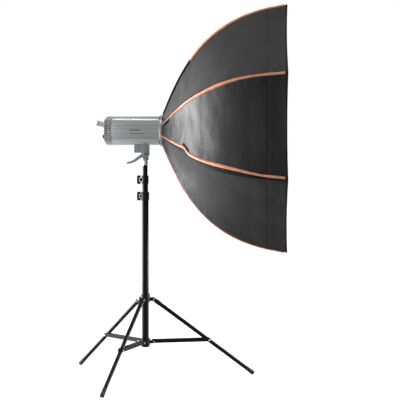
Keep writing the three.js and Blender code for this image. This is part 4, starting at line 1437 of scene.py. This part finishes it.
def add_floor():
    s = Shader("studio_floor", PALE, 0.7)
    s.colours((3, 3), (0.3, 0.985), (0.7, 1))
    ray = s.node("ShaderNodeLightPath")
    glow = s.node("ShaderNodeMath", operation="MULTIPLY")
    s.link(ray.outputs["Is Camera Ray"], glow.inputs[0])
    glow.inputs[1].default_value = FLOOR_LIFT
    s.set("Emission Color", (1, 1, 1, 1))
    s.link(glow.outputs[0], s.principled.inputs["Emission Strength"])
    MATERIALS["studio_floor"] = s.material
    corners = rectangle(-FLOOR_SIZE, -FLOOR_SIZE, FLOOR_SIZE, FLOOR_SIZE)
    floor = mesh_object("floor", [(x, y, 0) for x, y in corners], [(0, 1, 2, 3)], "studio_floor")


def add_area_light(name, place, aim, size, radiance):
    """A rectangular light. Its place and its aim are measured from the column's foot."""
    foot = Vector((COLUMN_X, 0, 0))
    place, aim = foot + Vector(place), foot + Vector(aim)
    data = bpy.data.lights.new(name, "AREA")
    data.shape = "RECTANGLE"
    data.size, data.size_y = size
    data.energy = radiance * math.pi * size[0] * size[1]
    light = in_scene(name, data)
    light.location = place
    light.rotation_euler = (aim - place).to_track_quat("-Z", "Y").to_euler()


def add_world():
    """The surroundings light the object by direction, and the camera sees them plain white."""
    world = bpy.data.worlds.new("studio")
    world.use_nodes = True
    tree = world.node_tree
    tree.nodes.clear()
    place = tree.nodes.new("ShaderNodeTexCoord")
    split = tree.nodes.new("ShaderNodeSeparateXYZ")
    tree.links.new(place.outputs["Generated"], split.inputs[0])
    both = tree.nodes.new("ShaderNodeMath")
    both.operation = "MULTIPLY"
    for (axis, span), level in zip(SURROUNDINGS.items(), both.inputs):
        ramp = tree.nodes.new("ShaderNodeMapRange")
        ramp.interpolation_type = "SMOOTHSTEP"
        for socket, value in zip(("From Min", "From Max", "To Min", "To Max"), span):
            ramp.inputs[socket].default_value = value
        tree.links.new(split.outputs[axis], ramp.inputs["Value"])
        tree.links.new(ramp.outputs["Result"], level)
    ray = tree.nodes.new("ShaderNodeLightPath")
    mix = tree.nodes.new("ShaderNodeMixShader")
    output = tree.nodes.new("ShaderNodeOutputWorld")
    tree.links.new(ray.outputs["Is Camera Ray"], mix.inputs[0])
    light, seen = (tree.nodes.new("ShaderNodeBackground") for _ in range(2))
    for background, socket in ((light, mix.inputs[1]), (seen, mix.inputs[2])):
        background.inputs["Color"].default_value = (1, 1, 1, 1)
        tree.links.new(background.outputs[0], socket)
    tree.links.new(both.outputs[0], light.inputs["Strength"])
    tree.links.new(mix.outputs[0], output.inputs[0])
    bpy.context.scene.world = world


add_floor()
add_world()
add_area_light("overhead", (-0.5, -0.85, 4.2), (-0.3, -0.05, 1.3), (2.8, 0.4), 7.0)
add_area_light("right_panel", (3.1, 0.9, 0.75), (0, 0, 0.7), (2.5, 1.4), 11.0)
add_area_light("left_panel", (-3.1, 0.7, 0.9), (0.2, -0.2, 1.26), (2.5, 1.7), 19.0)
add_area_light("front_panel", (-4.2, -3.6, 1.3), (0.4, -0.5, 1.26), (2.6, 1.6), 1.6)
bpy.context.scene.view_settings.view_transform = "Standard"
